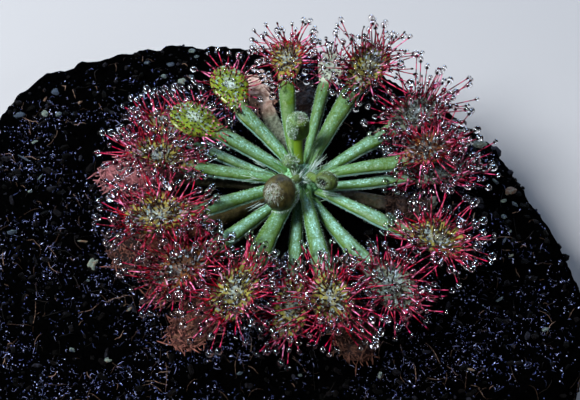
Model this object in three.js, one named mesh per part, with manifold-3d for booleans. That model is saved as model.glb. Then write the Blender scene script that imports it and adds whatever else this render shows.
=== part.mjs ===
// A rosette sundew growing on a hummock of wet peat.
// Millimetres, +Z up. The origin is on the flat underside of the peat, straight below the crown.
// -Y is the side from which the plant shows best.
//
// Pieces: the peat, the crown with its rootstock in a plain hole, seventeen living leaves that carry
// glandular tentacles with a drop of mucilage on each, eight withered leaves that lie on the peat, and
// four young leaves that are still rolled up. Every leaf's root stands a hair's breadth off the crown.

import * as THREE from "three";
import { mergeVertices } from "three/addons/utils/BufferGeometryUtils.js";
import Module from "manifold-3d";

const wasm = await Module();
wasm.setup();

// ---------------------------------------------------------------- driving dimensions

const CLEARANCE = 0.3; // least air between tentacles and any other piece

// The peat. The rim is a closed curve seen from above, from the crown's axis.
const PEAT_TOP = 13; // its surface at the crown, above the underside
const PEAT_CENTRE = new THREE.Vector2(-4, -3);
const PEAT_RIM = [
  [29.5, 1.5], [24, 12.5], [13, 21.5], [0, 26.5], [-14, 28], [-28, 26], [-38.5, 19.5], [-42.5, 7],
  [-43, -8], [-41, -22], [-32, -31.5], [-15, -34.5], [4, -34.5], [21, -33], [32.5, -26], [35, -15],
  [32.5, -5],
];
const PEAT_FALL = 3.2; // how far its surface falls from the crown to the rim
const SWELL = { height: 0.35, perX: 0.31, perY: 0.27, from: 6, full: 16 }; // slow swells, and where
const CRUMBLE = { height: 0.6, level: 0.7, from: 4, full: 10 }; // its rough surface, and where
const PEAT_SPOKES = 44;
const SPOKE_JITTER = 0.45;
const PEAT_RINGS = [0.12, 0.25, 0.4, 0.54, 0.67, 0.79, 0.89]; // shares of the way to the rim
const TOP_ROUGH = 1.0; // how far a point of those rings strays from its share
// Its flank, from the worn shoulder down: share of the rim, roughness, and either the drop below the
// surface or the height above the underside.
const FLANK = [
  { share: 0.985, rough: 0.5, drop: 1.4 },
  { share: 1.0, rough: 0.9, drop: 3.2 },
  { share: 1.005, rough: 1.1, height: 5.2 },
  { share: 0.985, rough: 0.9, height: 2.4 },
  { share: 0.965, rough: 0.5, height: 0 },
];
const CRUMBS = 18;
const CRUMB_SIZE = [0.9, 1.6];
const CRUMB_SHAPE = { longest: 1.9, across: 0.8, sunk: 0.35 }; // shares of its size
const CRUMB_WITHIN = 0.86; // share of the rim
const CRUMB_FREE = 27.5; // crumbs lie further out than this, clear of the leaves

const CROWN_RADIUS = 2.4;
const ROOTED_AT = 2.75; // the living leaves' roots stand this far from the axis, clear of the crown
const CROWN_TOP = 4.1; // above the peat's surface
const ROOT_RADIUS = 1.2;
const ROOT_DEPTH = 8;
const HOLE_RADIUS = 1.6;
const HOLE_DEPTH = 8.5;
const ABOVE_HOLE = 4; // the hole is cut this far past the surface, to be open at the top

const STALK_HALF = { root: 0.5, waist: 0.72, neck: 1.02 }; // half-widths of a leaf's stalk
const STALK_THICK = { root: 0.6, waist: 0.9, neck: 0.95 };
const BLADE_THICK = 0.7;
const ROUND_FROM = 0.6; // share of a blade's length past which its outline rounds off
const TIP_HALF = 0.28; // a blade's last half-width, where its outline closes
const THIN_EDGE = 0.82; // share of its squared thickness that a leaf loses at the edge
const RIPPLE = { perT: 27, between: 2.2 }; // pace of a dry edge's ripples, and its two sides' lag

const TENTACLE = { root: 0.13, neck: 0.1, drop: 0.4, sunk: 0.3 }; // radii, and the root's depth
const DROP_FROM = 1.6; // the stalk swells this many drop radii before its length's end
const DROP_WIDEST = 0.5; // and the drop is widest this many before it,
const DROP_PAST = 0.7; // and ends this many past it
const EDGE_TENTACLES = 12;
const EDGE_SPREAD = { nearest: 0.07, bunch: 1.35, square: 3.2, inset: 0.93 };
const EDGE_VARIES = [0.84, 1.06];
const FACE_LENGTH = 1.7; // of the short tentacles on a blade's face
const FACE_VARIES = [0.8, 1.25];
const FACE_DROP = 0.72; // size of their drops over the edge's
const FACE_SITES = [[0.3, -0.45], [0.34, 0.5], [0.52, 0], [0.52, -0.6], [0.6, 0.6], [0.76, -0.3]];
const FAN_CENTRE = 0.55; // share of the blade's length from which its tentacles point away
const SIDEWAYS = { most: 0.9, atNeck: 0.4, neckEnds: 0.35 }; // how much an edge one leans outwards
const TILT_JITTER = 10;
const TWIST_JITTER = 8;
const BRISTLES = 9; // on a withered blade
const BRISTLE_LENGTH = [1.0, 1.9];

// Degrees that a tentacle may rise from its blade and swing to a side, in order of preference.
const EDGE_LIFTS = [12, 26, -4, 40, -16, 55, 70];
const FACE_LIFTS = [74, 62, 86, 50];
const BRISTLE_LIFTS = [20, 38, 8, 55, 70];
const SWINGS = [0, 14, -14, 28, -28];

// Living leaves. azimuth: degrees from +X, at the root, at the neck where the blade begins, and at the
// tip. neck, tip: their distances from the axis. z: heights above the peat at the crown, of the root,
// the middle of the stalk, the neck, the middle of the blade and the tip. width: of the blade. stalk:
// its width over the usual one. cup: rise of the blade's edges over its half-width. roll: degrees
// about the leaf's own length. reach: length of the tentacles round the edge.
const LIVING = [
  { name: "leaf_01", azimuth: [108, 98.5, 95], neck: 12.8, tip: 20.3, z: [3.2, 4.8, 6.2, 6.6, 6.0],
    width: 4.4, stalk: 1, cup: 0.22, roll: -6, reach: 3.6 },
  { name: "leaf_02", azimuth: [80, 78, 76], neck: 14.2, tip: 19.2, z: [2.2, 3.4, 4.6, 5.2, 5.5],
    width: 3.5, stalk: 0.8, cup: 0.15, roll: 8, reach: 2.4 },
  { name: "leaf_03", azimuth: [62, 60, 61], neck: 12.6, tip: 21.4, z: [3.6, 5.4, 6.7, 7.1, 6.8],
    width: 4.8, stalk: 1.12, cup: 0.12, roll: 10, reach: 4.2 },
  { name: "leaf_04", azimuth: [29, 30, 33], neck: 12.4, tip: 21.3, z: [2.3, 3.5, 4.3, 4.7, 4.4],
    width: 4.9, stalk: 1, cup: 0.16, roll: 6, reach: 4.3 },
  { name: "leaf_05", azimuth: [8, 6, 11], neck: 12.4, tip: 18.8, z: [3.4, 4.1, 4.9, 5.9, 6.2],
    width: 4.4, stalk: 1, cup: 0.1, roll: 6, reach: 4.3 },
  { name: "leaf_06", azimuth: [-10, 2, 4.5], neck: 12.5, tip: 21.0, z: [1.9, 2.3, 2.6, 3.0, 3.1],
    width: 4.5, stalk: 0.85, cup: 0.16, roll: -4, reach: 4.2 },
  { name: "leaf_07", azimuth: [-36, -35, -31.5], neck: 14.6, tip: 22.8, z: [2.6, 3.3, 4.0, 4.6, 4.4],
    width: 5.4, stalk: 1, cup: 0.28, roll: -6, reach: 3.8 },
  { name: "leaf_08", azimuth: [-65, -60, -57], neck: 15.0, tip: 23.4, z: [2.0, 2.9, 4.0, 4.4, 3.8],
    width: 5.2, stalk: 1, cup: 0.1, roll: 6, reach: 4.2 },
  { name: "leaf_09", azimuth: [-82, -81, -80], neck: 15.6, tip: 23.0, z: [3.4, 4.7, 5.8, 5.8, 4.9],
    width: 4.8, stalk: 1.1, cup: 0.08, roll: 4, reach: 4.6 },
  { name: "leaf_10", azimuth: [-98, -94, -95], neck: 13.4, tip: 22.8, z: [2.1, 2.3, 2.4, 2.3, 1.7],
    width: 4.5, stalk: 0.9, cup: 0.05, roll: 8, reach: 2.8 },
  { name: "leaf_11", azimuth: [-115, -111.5, -114], neck: 15.4, tip: 24.0, z: [3.3, 4.7, 5.8, 5.9, 4.8],
    width: 5.0, stalk: 1.25, cup: 0.08, roll: -4, reach: 4.4 },
  { name: "leaf_12", azimuth: [-133, -134, -137], neck: 15.2, tip: 23.8, z: [2.3, 3.0, 4.0, 4.2, 3.4],
    width: 5.1, stalk: 1, cup: 0.12, roll: -6, reach: 4.2 },
  { name: "leaf_13", azimuth: [-152, -153, -158], neck: 14.0, tip: 23.2, z: [3.3, 4.2, 5.3, 6.0, 5.8],
    width: 5.6, stalk: 1.1, cup: 0.2, roll: -4, reach: 4.6 },
  { name: "leaf_14", azimuth: [178, 175, 171], neck: 13.2, tip: 22.0, z: [2.6, 3.2, 3.8, 4.6, 4.7],
    width: 4.9, stalk: 1, cup: 0.26, roll: 6, reach: 4.2 },
  { name: "leaf_15", azimuth: [166, 158, 154], neck: 14.6, tip: 22.0, z: [1.7, 2.4, 3.0, 3.5, 3.7],
    width: 4.3, stalk: 0.8, cup: 0.12, roll: 8, reach: 3.8 },
  { name: "leaf_16", azimuth: [153, 155, 156], neck: 11.0, tip: 17.9, z: [3.4, 4.7, 6.1, 7.6, 7.9],
    width: 5.3, stalk: 1.1, cup: -0.12, roll: 4, reach: 2.8 },
  { name: "leaf_17", azimuth: [130, 133.5, 126], neck: 11.0, tip: 17.6, z: [4.1, 5.4, 6.8, 7.8, 7.9],
    width: 4.7, stalk: 1.05, cup: -0.08, roll: 2, reach: 2.4 },
];

// Withered leaves, laid along the peat. base: height of the root above the peat. wave: depth of the
// ripples in the dry blade's edge. lift: how far one is held up off the peat. root: the distance from
// the axis of a stalk that has come away from the crown.
const WITHERED = [
  { name: "withered_1", azimuth: 174, neck: 16.5, tip: 25.8, width: 5.2, base: 0.8, wave: 0.35 },
  { name: "withered_2", azimuth: 205, neck: 14.5, tip: 25.5, width: 6.0, base: 1.0, wave: 0.4 },
  { name: "withered_3", azimuth: 237, neck: 17.6, tip: 27.2, width: 5.0, base: 0.9, wave: 0.3 },
  { name: "withered_4", azimuth: 286, neck: 16.4, tip: 25.4, width: 5.2, base: 0.9, wave: 0.4 },
  { name: "withered_5", azimuth: 88, neck: 10.5, tip: 18.4, width: 3.0, base: 0.8, wave: 0.3 },
  { name: "withered_6", azimuth: 112, neck: 11.6, tip: 17.6, width: 3.8, base: 2.0, wave: 0.15, lift: 2.4 },
  { name: "withered_7", azimuth: 348, neck: 10.6, tip: 16.6, width: 3.2, base: 0.8, wave: 0.3 },
  { name: "withered_8", azimuth: 222, neck: 15.5, tip: 24.4, width: 4.6, base: 0.9, wave: 0.35, root: 6 },
];
const WITHERED_ABOVE = [0, 1.15, 1.1, 1.25, 1.05]; // the midrib's heights over the peat past the root
const WITHERED_LIFT = [0, 0.55, 0.9, 1, 1]; // shares of the lift at the same places

// Young leaves, rolled up: points of the stalk, and the ellipsoids of the rolled blade with their
// half-axes and their turn about Z in degrees, from the crown's axis and the peat's surface.
const YOUNG_STALK = { wide: 0.52, deep: 0.6, steps: 5 };
const YOUNG = [
  { name: "young_1", stalk: [[-0.5, -1.0, 4.95], [-1.1, -2.2, 5.6], [-2.1, -3.8, 6.5]],
    lobes: [{ at: [-2.8, -5.1, 7.6], half: [2.1, 2.45, 2.3], turn: -20 }] },
  { name: "young_2", stalk: [[-0.3, 1.5, 4.9], [-0.5, 2.4, 6.0], [-0.5, 3.2, 7.3]],
    lobes: [
      { at: [-0.25, 3.9, 8.9], half: [1.2, 1.25, 1.8], turn: 0 },
      { at: [-1.1, 3.4, 8.6], half: [0.95, 0.95, 1.5], turn: 0 },
    ] },
  { name: "young_3", stalk: [[1.1, -0.7, 4.9], [1.8, -1.5, 5.1], [2.5, -2.1, 5.4]],
    lobes: [{ at: [3.0, -2.4, 5.8], half: [1.45, 1.2, 1.2], turn: -20 }] },
  { name: "young_4", stalk: [[-1.0, 0.1, 4.9], [-1.2, 0.2, 5.3], [-1.35, 0.3, 5.6]],
    lobes: [{ at: [-1.5, 0.3, 6.1], half: [0.95, 0.75, 0.75], turn: 0 }] },
];

const FINISH = {
  peat: { color: 0x1d1a17, roughness: 0.9, metalness: 0 },
  crown: { color: 0x86b06a, roughness: 0.6, metalness: 0 },
  young: { color: 0x8d8f4e, roughness: 0.6, metalness: 0 },
  living: { color: 0x7f9a3a, roughness: 0.5, metalness: 0 },
  withered: { color: 0x8a5a3c, roughness: 0.85, metalness: 0 },
};

// ---------------------------------------------------------------- small helpers

const UP = new THREE.Vector3(0, 0, 1);
const deg = THREE.MathUtils.degToRad;
const lerp = THREE.MathUtils.lerp;
const smooth = (x) => THREE.MathUtils.smoothstep(x, 0, 1);
const rising = (r, { from, full }) => THREE.MathUtils.smoothstep(r, from, full);

// A repeatable stream of numbers from 0 to 1.
function stream(seed) {
  let state = seed * 2654435761 + 1;
  return () => {
    state = (Math.imul(state ^ (state >>> 15), 0x2c1b3c6d) + 0x9e3779b9) | 0;
    state ^= state >>> 12;
    return ((state >>> 0) % 100000) / 100000;
  };
}

// A closed solid from points and triangles.
function solidFrom(points, triangles) {
  const vertProperties = new Float32Array(points.flatMap((p) => [p.x, p.y, p.z]));
  const triVerts = new Uint32Array(triangles.flat());
  return new wasm.Manifold(new wasm.Mesh({ numProp: 3, vertProperties, triVerts }));
}

// A closed solid from one of three.js's own closed geometries.
function solidOfGeometry(geometry) {
  const bare = geometry.index ? geometry.toNonIndexed() : geometry.clone();
  bare.deleteAttribute("normal");
  bare.deleteAttribute("uv");
  const merged = mergeVertices(bare, 1e-4);
  const vertProperties = merged.attributes.position.array;
  const triVerts = new Uint32Array(merged.index.array);
  return new wasm.Manifold(new wasm.Mesh({ numProp: 3, vertProperties, triVerts }));
}

function geometryOf(solid) {
  const mesh = solid.getMesh();
  const position = new Float32Array(mesh.numVert * 3);
  for (let i = 0; i < mesh.numVert; i++) {
    position.set(mesh.vertProperties.subarray(i * mesh.numProp, i * mesh.numProp + 3), i * 3);
  }
  const geometry = new THREE.BufferGeometry();
  geometry.setAttribute("position", new THREE.BufferAttribute(position, 3));
  geometry.setIndex(new THREE.BufferAttribute(mesh.triVerts, 1));
  return geometry;
}

function united(solids) {
  return solids.reduce((whole, piece) => whole.add(piece));
}

// Rings of points, each with the same count, joined into a tube. The first ring is closed flat, and
// the last one flat too or, where there is an apex, to it.
function tubeOfRings(rings, apex) {
  const count = rings[0].length;
  const points = apex ? [...rings.flat(), apex] : rings.flat();
  const triangles = [];
  for (let r = 0; r + 1 < rings.length; r++) {
    for (let k = 0; k < count; k++) {
      const a = r * count + k;
      const b = r * count + ((k + 1) % count);
      triangles.push([a, b, b + count], [a, b + count, a + count]);
    }
  }
  const last = (rings.length - 1) * count;
  for (let k = 1; k + 1 < count; k++) {
    triangles.push([0, k + 1, k]);
    if (!apex) triangles.push([last, last + k, last + k + 1]);
  }
  for (let k = 0; apex && k < count; k++) {
    triangles.push([last + k, last + ((k + 1) % count), points.length - 1]);
  }
  const solid = solidFrom(points, triangles);
  if (solid.volume() > 0) return solid;
  return solidFrom(points, triangles.map(([a, b, c]) => [a, c, b]));
}

// ---------------------------------------------------------------- peat

const rimPoints = new THREE.CatmullRomCurve3(
  PEAT_RIM.map(([x, y]) => new THREE.Vector3(x - PEAT_CENTRE.x, y - PEAT_CENTRE.y, 0)),
  true,
).getPoints(340);
const rimAngles = rimPoints.map((p) => Math.atan2(p.y, p.x));

// Distance from the hummock's middle to its rim in one direction.
function peatRim(angle) {
  let best = 0;
  let nearest = Infinity;
  rimAngles.forEach((a, i) => {
    const away = Math.abs(Math.atan2(Math.sin(a - angle), Math.cos(a - angle)));
    if (away < nearest) [nearest, best] = [away, i];
  });
  return rimPoints[best].length();
}

// How far out a place lies, from 0 at the hummock's middle to 1 at its rim.
function rimShare(x, y) {
  const px = x - PEAT_CENTRE.x;
  const py = y - PEAT_CENTRE.y;
  return Math.min(1, Math.hypot(px, py) / peatRim(Math.atan2(py, px)));
}

const crownShare = rimShare(0, 0);

// Height of the peat's surface above its level at the crown: a low dome with slow swells, which
// leave the ground round the crown level.
function peatLevel(x, y) {
  const swell = SWELL.height * Math.sin(SWELL.perX * x + 0.4) * Math.cos(SWELL.perY * y - 0.5);
  const dome = -PEAT_FALL * (rimShare(x, y) ** 3 - crownShare ** 3);
  return dome + swell * rising(Math.hypot(x, y), SWELL);
}

function peatRing(random, share, rough, heightAt) {
  return Array.from({ length: PEAT_SPOKES }, (_, k) => {
    const angle = ((k + (random() - 0.5) * SPOKE_JITTER) / PEAT_SPOKES) * 2 * Math.PI;
    const r = peatRim(angle) * share + (random() - 0.5) * rough;
    const x = PEAT_CENTRE.x + r * Math.cos(angle);
    const y = PEAT_CENTRE.y + r * Math.sin(angle);
    return new THREE.Vector3(x, y, heightAt(x, y));
  });
}

function peatSolid() {
  const random = stream(7);
  const onTop = (x, y) => {
    const crumbly = (random() - CRUMBLE.level) * CRUMBLE.height * rising(Math.hypot(x, y), CRUMBLE);
    return PEAT_TOP + peatLevel(x, y) + crumbly;
  };
  const onFlank = ({ drop, height }) => {
    return (x, y) => height ?? PEAT_TOP + peatLevel(x, y) - drop;
  };
  const rings = [
    ...PEAT_RINGS.map((share) => peatRing(random, share, TOP_ROUGH, onTop)),
    ...FLANK.map((ring) => peatRing(random, ring.share, ring.rough, onFlank(ring))),
  ];
  const { x, y } = PEAT_CENTRE;
  const points = [new THREE.Vector3(x, y, PEAT_TOP + peatLevel(x, y)), ...rings.flat()];
  const triangles = [];
  const at = (ring, k) => 1 + ring * PEAT_SPOKES + (k % PEAT_SPOKES);
  for (let k = 0; k < PEAT_SPOKES; k++) {
    triangles.push([0, at(0, k), at(0, k + 1)]);
    for (let r = 0; r + 1 < rings.length; r++) {
      triangles.push([at(r, k), at(r + 1, k), at(r + 1, k + 1)]);
      triangles.push([at(r, k), at(r + 1, k + 1), at(r, k + 1)]);
    }
  }
  const under = rings.length - 1;
  for (let k = 1; k + 1 < PEAT_SPOKES; k++) {
    triangles.push([at(under, 0), at(under, k + 1), at(under, k)]);
  }
  return united([solidFrom(points, triangles), ...crumbs()]).subtract(rootHole());
}

// The plain hole that the rootstock stands in, open at the top.
function rootHole() {
  const tall = HOLE_DEPTH + ABOVE_HOLE;
  const hole = new THREE.CylinderGeometry(HOLE_RADIUS, HOLE_RADIUS, tall, 12);
  return solidOfGeometry(hole.rotateX(Math.PI / 2).translate(0, 0, PEAT_TOP - HOLE_DEPTH + tall / 2));
}

// Crumbs and chips of bark, half sunk in the surface where it is bare.
function crumbs() {
  const random = stream(23);
  const made = [];
  while (made.length < CRUMBS) {
    const angle = random() * 2 * Math.PI;
    const r = peatRim(angle) * Math.sqrt(random()) * CRUMB_WITHIN;
    const x = PEAT_CENTRE.x + r * Math.cos(angle);
    const y = PEAT_CENTRE.y + r * Math.sin(angle);
    if (Math.hypot(x, y) < CRUMB_FREE) continue;
    const size = lerp(...CRUMB_SIZE, random());
    const crumb = new THREE.OctahedronGeometry(size, 0)
      .scale(lerp(1, CRUMB_SHAPE.longest, random()), CRUMB_SHAPE.across, CRUMB_SHAPE.across)
      .rotateZ(random() * Math.PI)
      .translate(x, y, PEAT_TOP + peatLevel(x, y) - CRUMB_SHAPE.sunk * size);
    made.push(solidOfGeometry(crumb));
  }
  return made;
}

// ---------------------------------------------------------------- crown

// The short stem that all leaves spring from, with the rootstock that goes down into the peat.
function crownSolid() {
  const profile = [
    [0, -ROOT_DEPTH],
    [0.4 * ROOT_RADIUS, -ROOT_DEPTH + 0.2],
    [0.8 * ROOT_RADIUS, -0.6 * ROOT_DEPTH],
    [ROOT_RADIUS, -0.6],
    [ROOT_RADIUS, 0.3],
    [CROWN_RADIUS, 0.75],
    [CROWN_RADIUS, CROWN_TOP - 0.9],
    [0.85 * CROWN_RADIUS, CROWN_TOP - 0.25],
    [0.4 * CROWN_RADIUS, CROWN_TOP],
    [0, CROWN_TOP],
  ];
  const lathe = new THREE.LatheGeometry(profile.map(([r, z]) => new THREE.Vector2(r, z)), 14);
  return solidOfGeometry(lathe.rotateX(Math.PI / 2).translate(0, 0, PEAT_TOP));
}

// ---------------------------------------------------------------- the leaf's own shape

const NECK_AT = 0.55; // a leaf is stalk up to this share of its parameter t, and blade beyond it
const STALK_STATIONS = [0, 0.3, 0.65];
const BLADE_STATIONS = [0, 0.22, 0.48, 0.72, 0.91, 1];
const ACROSS = [-1, -0.55, 0, 0.55, 1];

// Half-width of a stalk, s from 0 at the root to 1 at the neck: a narrow root, then a slow flare.
function stalkHalf(leaf, s) {
  const waist = lerp(STALK_HALF.root, STALK_HALF.waist * leaf.stalk, smooth(s / 0.3));
  return lerp(waist, STALK_HALF.neck * leaf.stalk, smooth(s));
}

// Half-width of a blade, s from 0 at the neck to 1 at the tip: it flares, then rounds off.
function bladeHalf(leaf, s) {
  const flare = lerp(stalkHalf(leaf, 1), leaf.width / 2, smooth(s / 0.5));
  const past = Math.max(0, (s - ROUND_FROM) / (1 - ROUND_FROM));
  const round = Math.sqrt(Math.max(0, 1 - past ** 2));
  return Math.max(flare * round, TIP_HALF);
}

// The distances from the axis at which a leaf's five heights are given.
function midribRadii({ root, neck, tip }) {
  return [root, (root + neck) / 2, neck, (neck + tip) / 2, tip];
}

// The midrib runs outwards from the crown through the leaf's five heights.
function midrib(leaf) {
  const radii = midribRadii(leaf);
  const [root, neck, tip] = leaf.azimuth.map(deg);
  const headings = [root, lerp(root, neck, 0.65), neck, lerp(neck, tip, 0.6), tip];
  const points = radii.map((r, i) => {
    const flat = new THREE.Vector2(r, 0).rotateAround(new THREE.Vector2(), headings[i]);
    return new THREE.Vector3(flat.x, flat.y, PEAT_TOP + leaf.z[i]);
  });
  return new THREE.CatmullRomCurve3(points, false, "centripetal");
}

// Everything about a leaf at t: the midrib's point and directions there, the half-width, the
// thickness, the cup and the wave.
function leafFrame(leaf, t) {
  const onStalk = t < NECK_AT;
  const s = onStalk ? t / NECK_AT : (t - NECK_AT) / (1 - NECK_AT);
  const along = onStalk ? s * 0.5 : 0.5 + s * 0.5;
  const curve = (leaf.curve ??= midrib(leaf));
  const centre = curve.getPoint(along);
  const tangent = curve.getTangent(along);
  const side = new THREE.Vector3().crossVectors(UP, tangent).normalize();
  const normal = new THREE.Vector3().crossVectors(tangent, side).normalize();
  const turn = deg(leaf.roll) * (onStalk ? s * s : 1);
  side.applyAxisAngle(tangent, turn);
  normal.applyAxisAngle(tangent, turn);
  const waist = lerp(STALK_THICK.root, STALK_THICK.waist, smooth(s / 0.25));
  return {
    centre,
    tangent,
    side,
    normal,
    half: onStalk ? stalkHalf(leaf, s) : bladeHalf(leaf, s),
    thick: onStalk
      ? lerp(waist, STALK_THICK.neck, s)
      : lerp(STALK_THICK.neck, BLADE_THICK, smooth(s / 0.4)),
    cup: onStalk ? 0 : leaf.cup * smooth(s / 0.4),
    wave: onStalk ? 0 : leaf.wave * smooth(s / 0.3),
  };
}

// A point on a leaf's upper (1) or lower (-1) face or between them (0); u runs from -1 to 1 across.
function leafPoint(leaf, t, u, face) {
  const f = leafFrame(leaf, t);
  const phase = RIPPLE.perT * t + RIPPLE.between * Math.sign(u) + leaf.tip;
  const ripple = f.wave * Math.sin(phase) * u * u;
  const rise = f.cup * f.half * u * u + ripple;
  const shell = face * (f.thick / 2) * Math.sqrt(1 - THIN_EDGE * u * u);
  return f.centre.addScaledVector(f.side, f.half * u).addScaledVector(f.normal, rise + shell);
}

function leafBody(leaf) {
  const stations = [
    ...STALK_STATIONS.map((s) => s * NECK_AT),
    ...BLADE_STATIONS.map((s) => NECK_AT + s * (1 - NECK_AT)),
  ];
  const rings = stations.map((t) => [
    ...ACROSS.map((u) => leafPoint(leaf, t, u, 1)),
    ...[...ACROSS].reverse().map((u) => leafPoint(leaf, t, u, -1)),
  ]);
  return tubeOfRings(rings);
}

// ---------------------------------------------------------------- tentacles

// Places round a blade's edge, from one side of the neck over the tip to the other side. They are
// bunched towards the tip, where the outline turns, and squared off just before it.
function edgeSites(count, lengthAt) {
  return Array.from({ length: count }, (_, k) => {
    const sweep = lerp(-1, 1, (k + 0.5) / count);
    const away = Math.abs(sweep);
    const s = 1 - (1 - EDGE_SPREAD.nearest) * away ** EDGE_SPREAD.bunch;
    const u = Math.sign(sweep) * Math.min(1, away * EDGE_SPREAD.square) * EDGE_SPREAD.inset;
    return { s, u, length: lengthAt(), onEdge: true };
  });
}

function withJitter(sites, random) {
  return sites.map((site) => {
    const tilt = TILT_JITTER * (random() - 0.5);
    const twist = TWIST_JITTER * (random() - 0.5);
    return { ...site, tilt, twist };
  });
}

// A living leaf carries long tentacles round the edge and short ones on the face.
function tentacleSites(leaf, index) {
  const random = stream(101 + index);
  const edge = edgeSites(EDGE_TENTACLES, () => leaf.reach * lerp(...EDGE_VARIES, random()));
  const face = FACE_SITES.map(([s, u]) => {
    return { s, u, length: FACE_LENGTH * lerp(...FACE_VARIES, random()), onEdge: false };
  });
  return withJitter([...edge, ...face], random);
}

// A withered leaf keeps short dry bristles round its edge.
function bristleSites(index) {
  const random = stream(401 + index);
  return withJitter(edgeSites(BRISTLES, () => lerp(...BRISTLE_LENGTH, random())), random);
}

// The tentacle at a site: it points outwards from the blade's middle and up by lift, in degrees, and
// next to the neck it leans back over the stalk.
function tentacleAt(leaf, site, lift, swing, bare) {
  const t = NECK_AT + site.s * (1 - NECK_AT);
  const { side, normal, tangent } = leafFrame(leaf, t);
  const root = leafPoint(leaf, t, site.u, site.onEdge ? 0 : 1);
  const direction = root.clone().sub(leafFrame(leaf, lerp(NECK_AT, 1, FAN_CENTRE)).centre);
  direction.addScaledVector(normal, -direction.dot(normal));
  if (direction.length() < 0.3) direction.copy(tangent);
  direction.normalize();
  if (site.onEdge) {
    const towardsNeck = smooth(1 - site.s / SIDEWAYS.neckEnds);
    const sideways = lerp(SIDEWAYS.most, SIDEWAYS.atNeck, towardsNeck);
    direction.addScaledVector(side, Math.sign(site.u) * sideways).normalize();
  }
  direction.applyAxisAngle(normal, deg(swing + site.twist));
  const rise = deg(lift + site.tilt);
  direction.multiplyScalar(Math.cos(rise)).addScaledVector(normal, Math.sin(rise)).normalize();
  const drop = bare ? 0 : TENTACLE.drop * (site.onEdge ? 1 : FACE_DROP);
  return { root, direction, length: site.length, drop };
}

// Its solid: a three-sided stalk that swells into the drop, or a bare point where there is none.
function tentacleSolid({ root, direction, length, drop }) {
  const side = new THREE.Vector3().crossVectors(direction, UP);
  if (side.length() < 0.1) side.set(1, 0, 0);
  side.normalize();
  const other = new THREE.Vector3().crossVectors(direction, side).normalize();
  const levels = [[-TENTACLE.sunk, TENTACLE.root]];
  if (drop > 0) {
    levels.push([length - DROP_FROM * drop, TENTACLE.neck], [length - DROP_WIDEST * drop, drop]);
  }
  const rings = levels.map(([at, radius]) =>
    [0, 1, 2].map((k) => {
      const angle = (k / 3) * 2 * Math.PI;
      return root
        .clone()
        .addScaledVector(direction, at)
        .addScaledVector(side, radius * Math.cos(angle))
        .addScaledVector(other, radius * Math.sin(angle));
    }),
  );
  return tubeOfRings(rings, root.clone().addScaledVector(direction, length + DROP_PAST * drop));
}

// ---------------------------------------------------------------- clearances

// A piece is measured as balls along it. step: allowance for the hollows between two balls.
function leafBalls(leaf) {
  const balls = [];
  for (let i = 0; i <= 44; i++) {
    const t = i / 44;
    const radius = leafFrame(leaf, t).thick / 2;
    for (let j = -4; j <= 4; j++) {
      balls.push({ at: leafPoint(leaf, t, j / 4, 0), radius, step: 0.35 });
    }
  }
  return balls;
}

function tentacleBalls({ root, direction, length, drop }) {
  const balls = [];
  for (let d = 0.5; d < length + 0.45 * drop; d += 0.3) {
    const inDrop = d > length - DROP_FROM * drop;
    const radius = inDrop ? Math.max(drop, TENTACLE.neck) : (TENTACLE.neck + TENTACLE.root) / 2;
    balls.push({ at: root.clone().addScaledVector(direction, d), radius, step: 0 });
  }
  return balls;
}

function youngBalls(young) {
  const lobes = young.lobes.map((l) => ({ at: abovePeat(l.at), radius: Math.max(...l.half), step: 0.1 }));
  const stalk = young.stalk.map((p) => ({ at: abovePeat(p), radius: 0.8, step: 0.3 }));
  return [...lobes, ...stalk];
}

function isClear(balls, others) {
  return balls.every((b) => {
    const ground = PEAT_TOP + peatLevel(b.at.x, b.at.y) + 0.2;
    if (b.at.z - b.radius - CLEARANCE < ground) return false;
    return others.every((o) => b.at.distanceTo(o.at) >= b.radius + o.radius + o.step + CLEARANCE);
  });
}

// ---------------------------------------------------------------- young leaves

function abovePeat([x, y, z]) {
  return new THREE.Vector3(x, y, PEAT_TOP + z);
}

function youngSolid(young) {
  const outline = new THREE.Shape();
  outline.absellipse(0, 0, YOUNG_STALK.wide, YOUNG_STALK.deep, 0, 2 * Math.PI);
  const extrudePath = new THREE.CatmullRomCurve3(young.stalk.map(abovePeat));
  const options = { steps: YOUNG_STALK.steps, extrudePath, curveSegments: 4 };
  const lobes = young.lobes.map(({ at, half, turn }) => {
    const ball = new THREE.SphereGeometry(1, 9, 7).rotateX(Math.PI / 2).scale(...half);
    return solidOfGeometry(ball.rotateZ(deg(turn)).translate(...abovePeat(at).toArray()));
  });
  return united([solidOfGeometry(new THREE.ExtrudeGeometry(outline, options)), ...lobes]);
}

// ---------------------------------------------------------------- the plant

// A withered leaf follows the peat a little above it.
function witheredLeaf(row) {
  const spec = { root: ROOTED_AT, lift: 0, ...row };
  const heading = deg(spec.azimuth);
  const z = midribRadii(spec).map((r, i) => {
    const ground = peatLevel(r * Math.cos(heading), r * Math.sin(heading));
    if (i === 0) return ground + spec.base;
    return ground + WITHERED_ABOVE[i] + spec.lift * WITHERED_LIFT[i];
  });
  return { ...spec, azimuth: Array(3).fill(spec.azimuth), z, stalk: 1, cup: -0.1, roll: 0 };
}

const living = LIVING.map((leaf) => ({ ...leaf, root: ROOTED_AT, wave: 0 }));
const withered = WITHERED.map(witheredLeaf);
const bodies = [...living, ...withered];
const bodyBalls = new Map(bodies.map((leaf) => [leaf.name, leafBalls(leaf)]));
const grown = new Map(bodies.map((leaf) => [leaf.name, []]));

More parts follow.
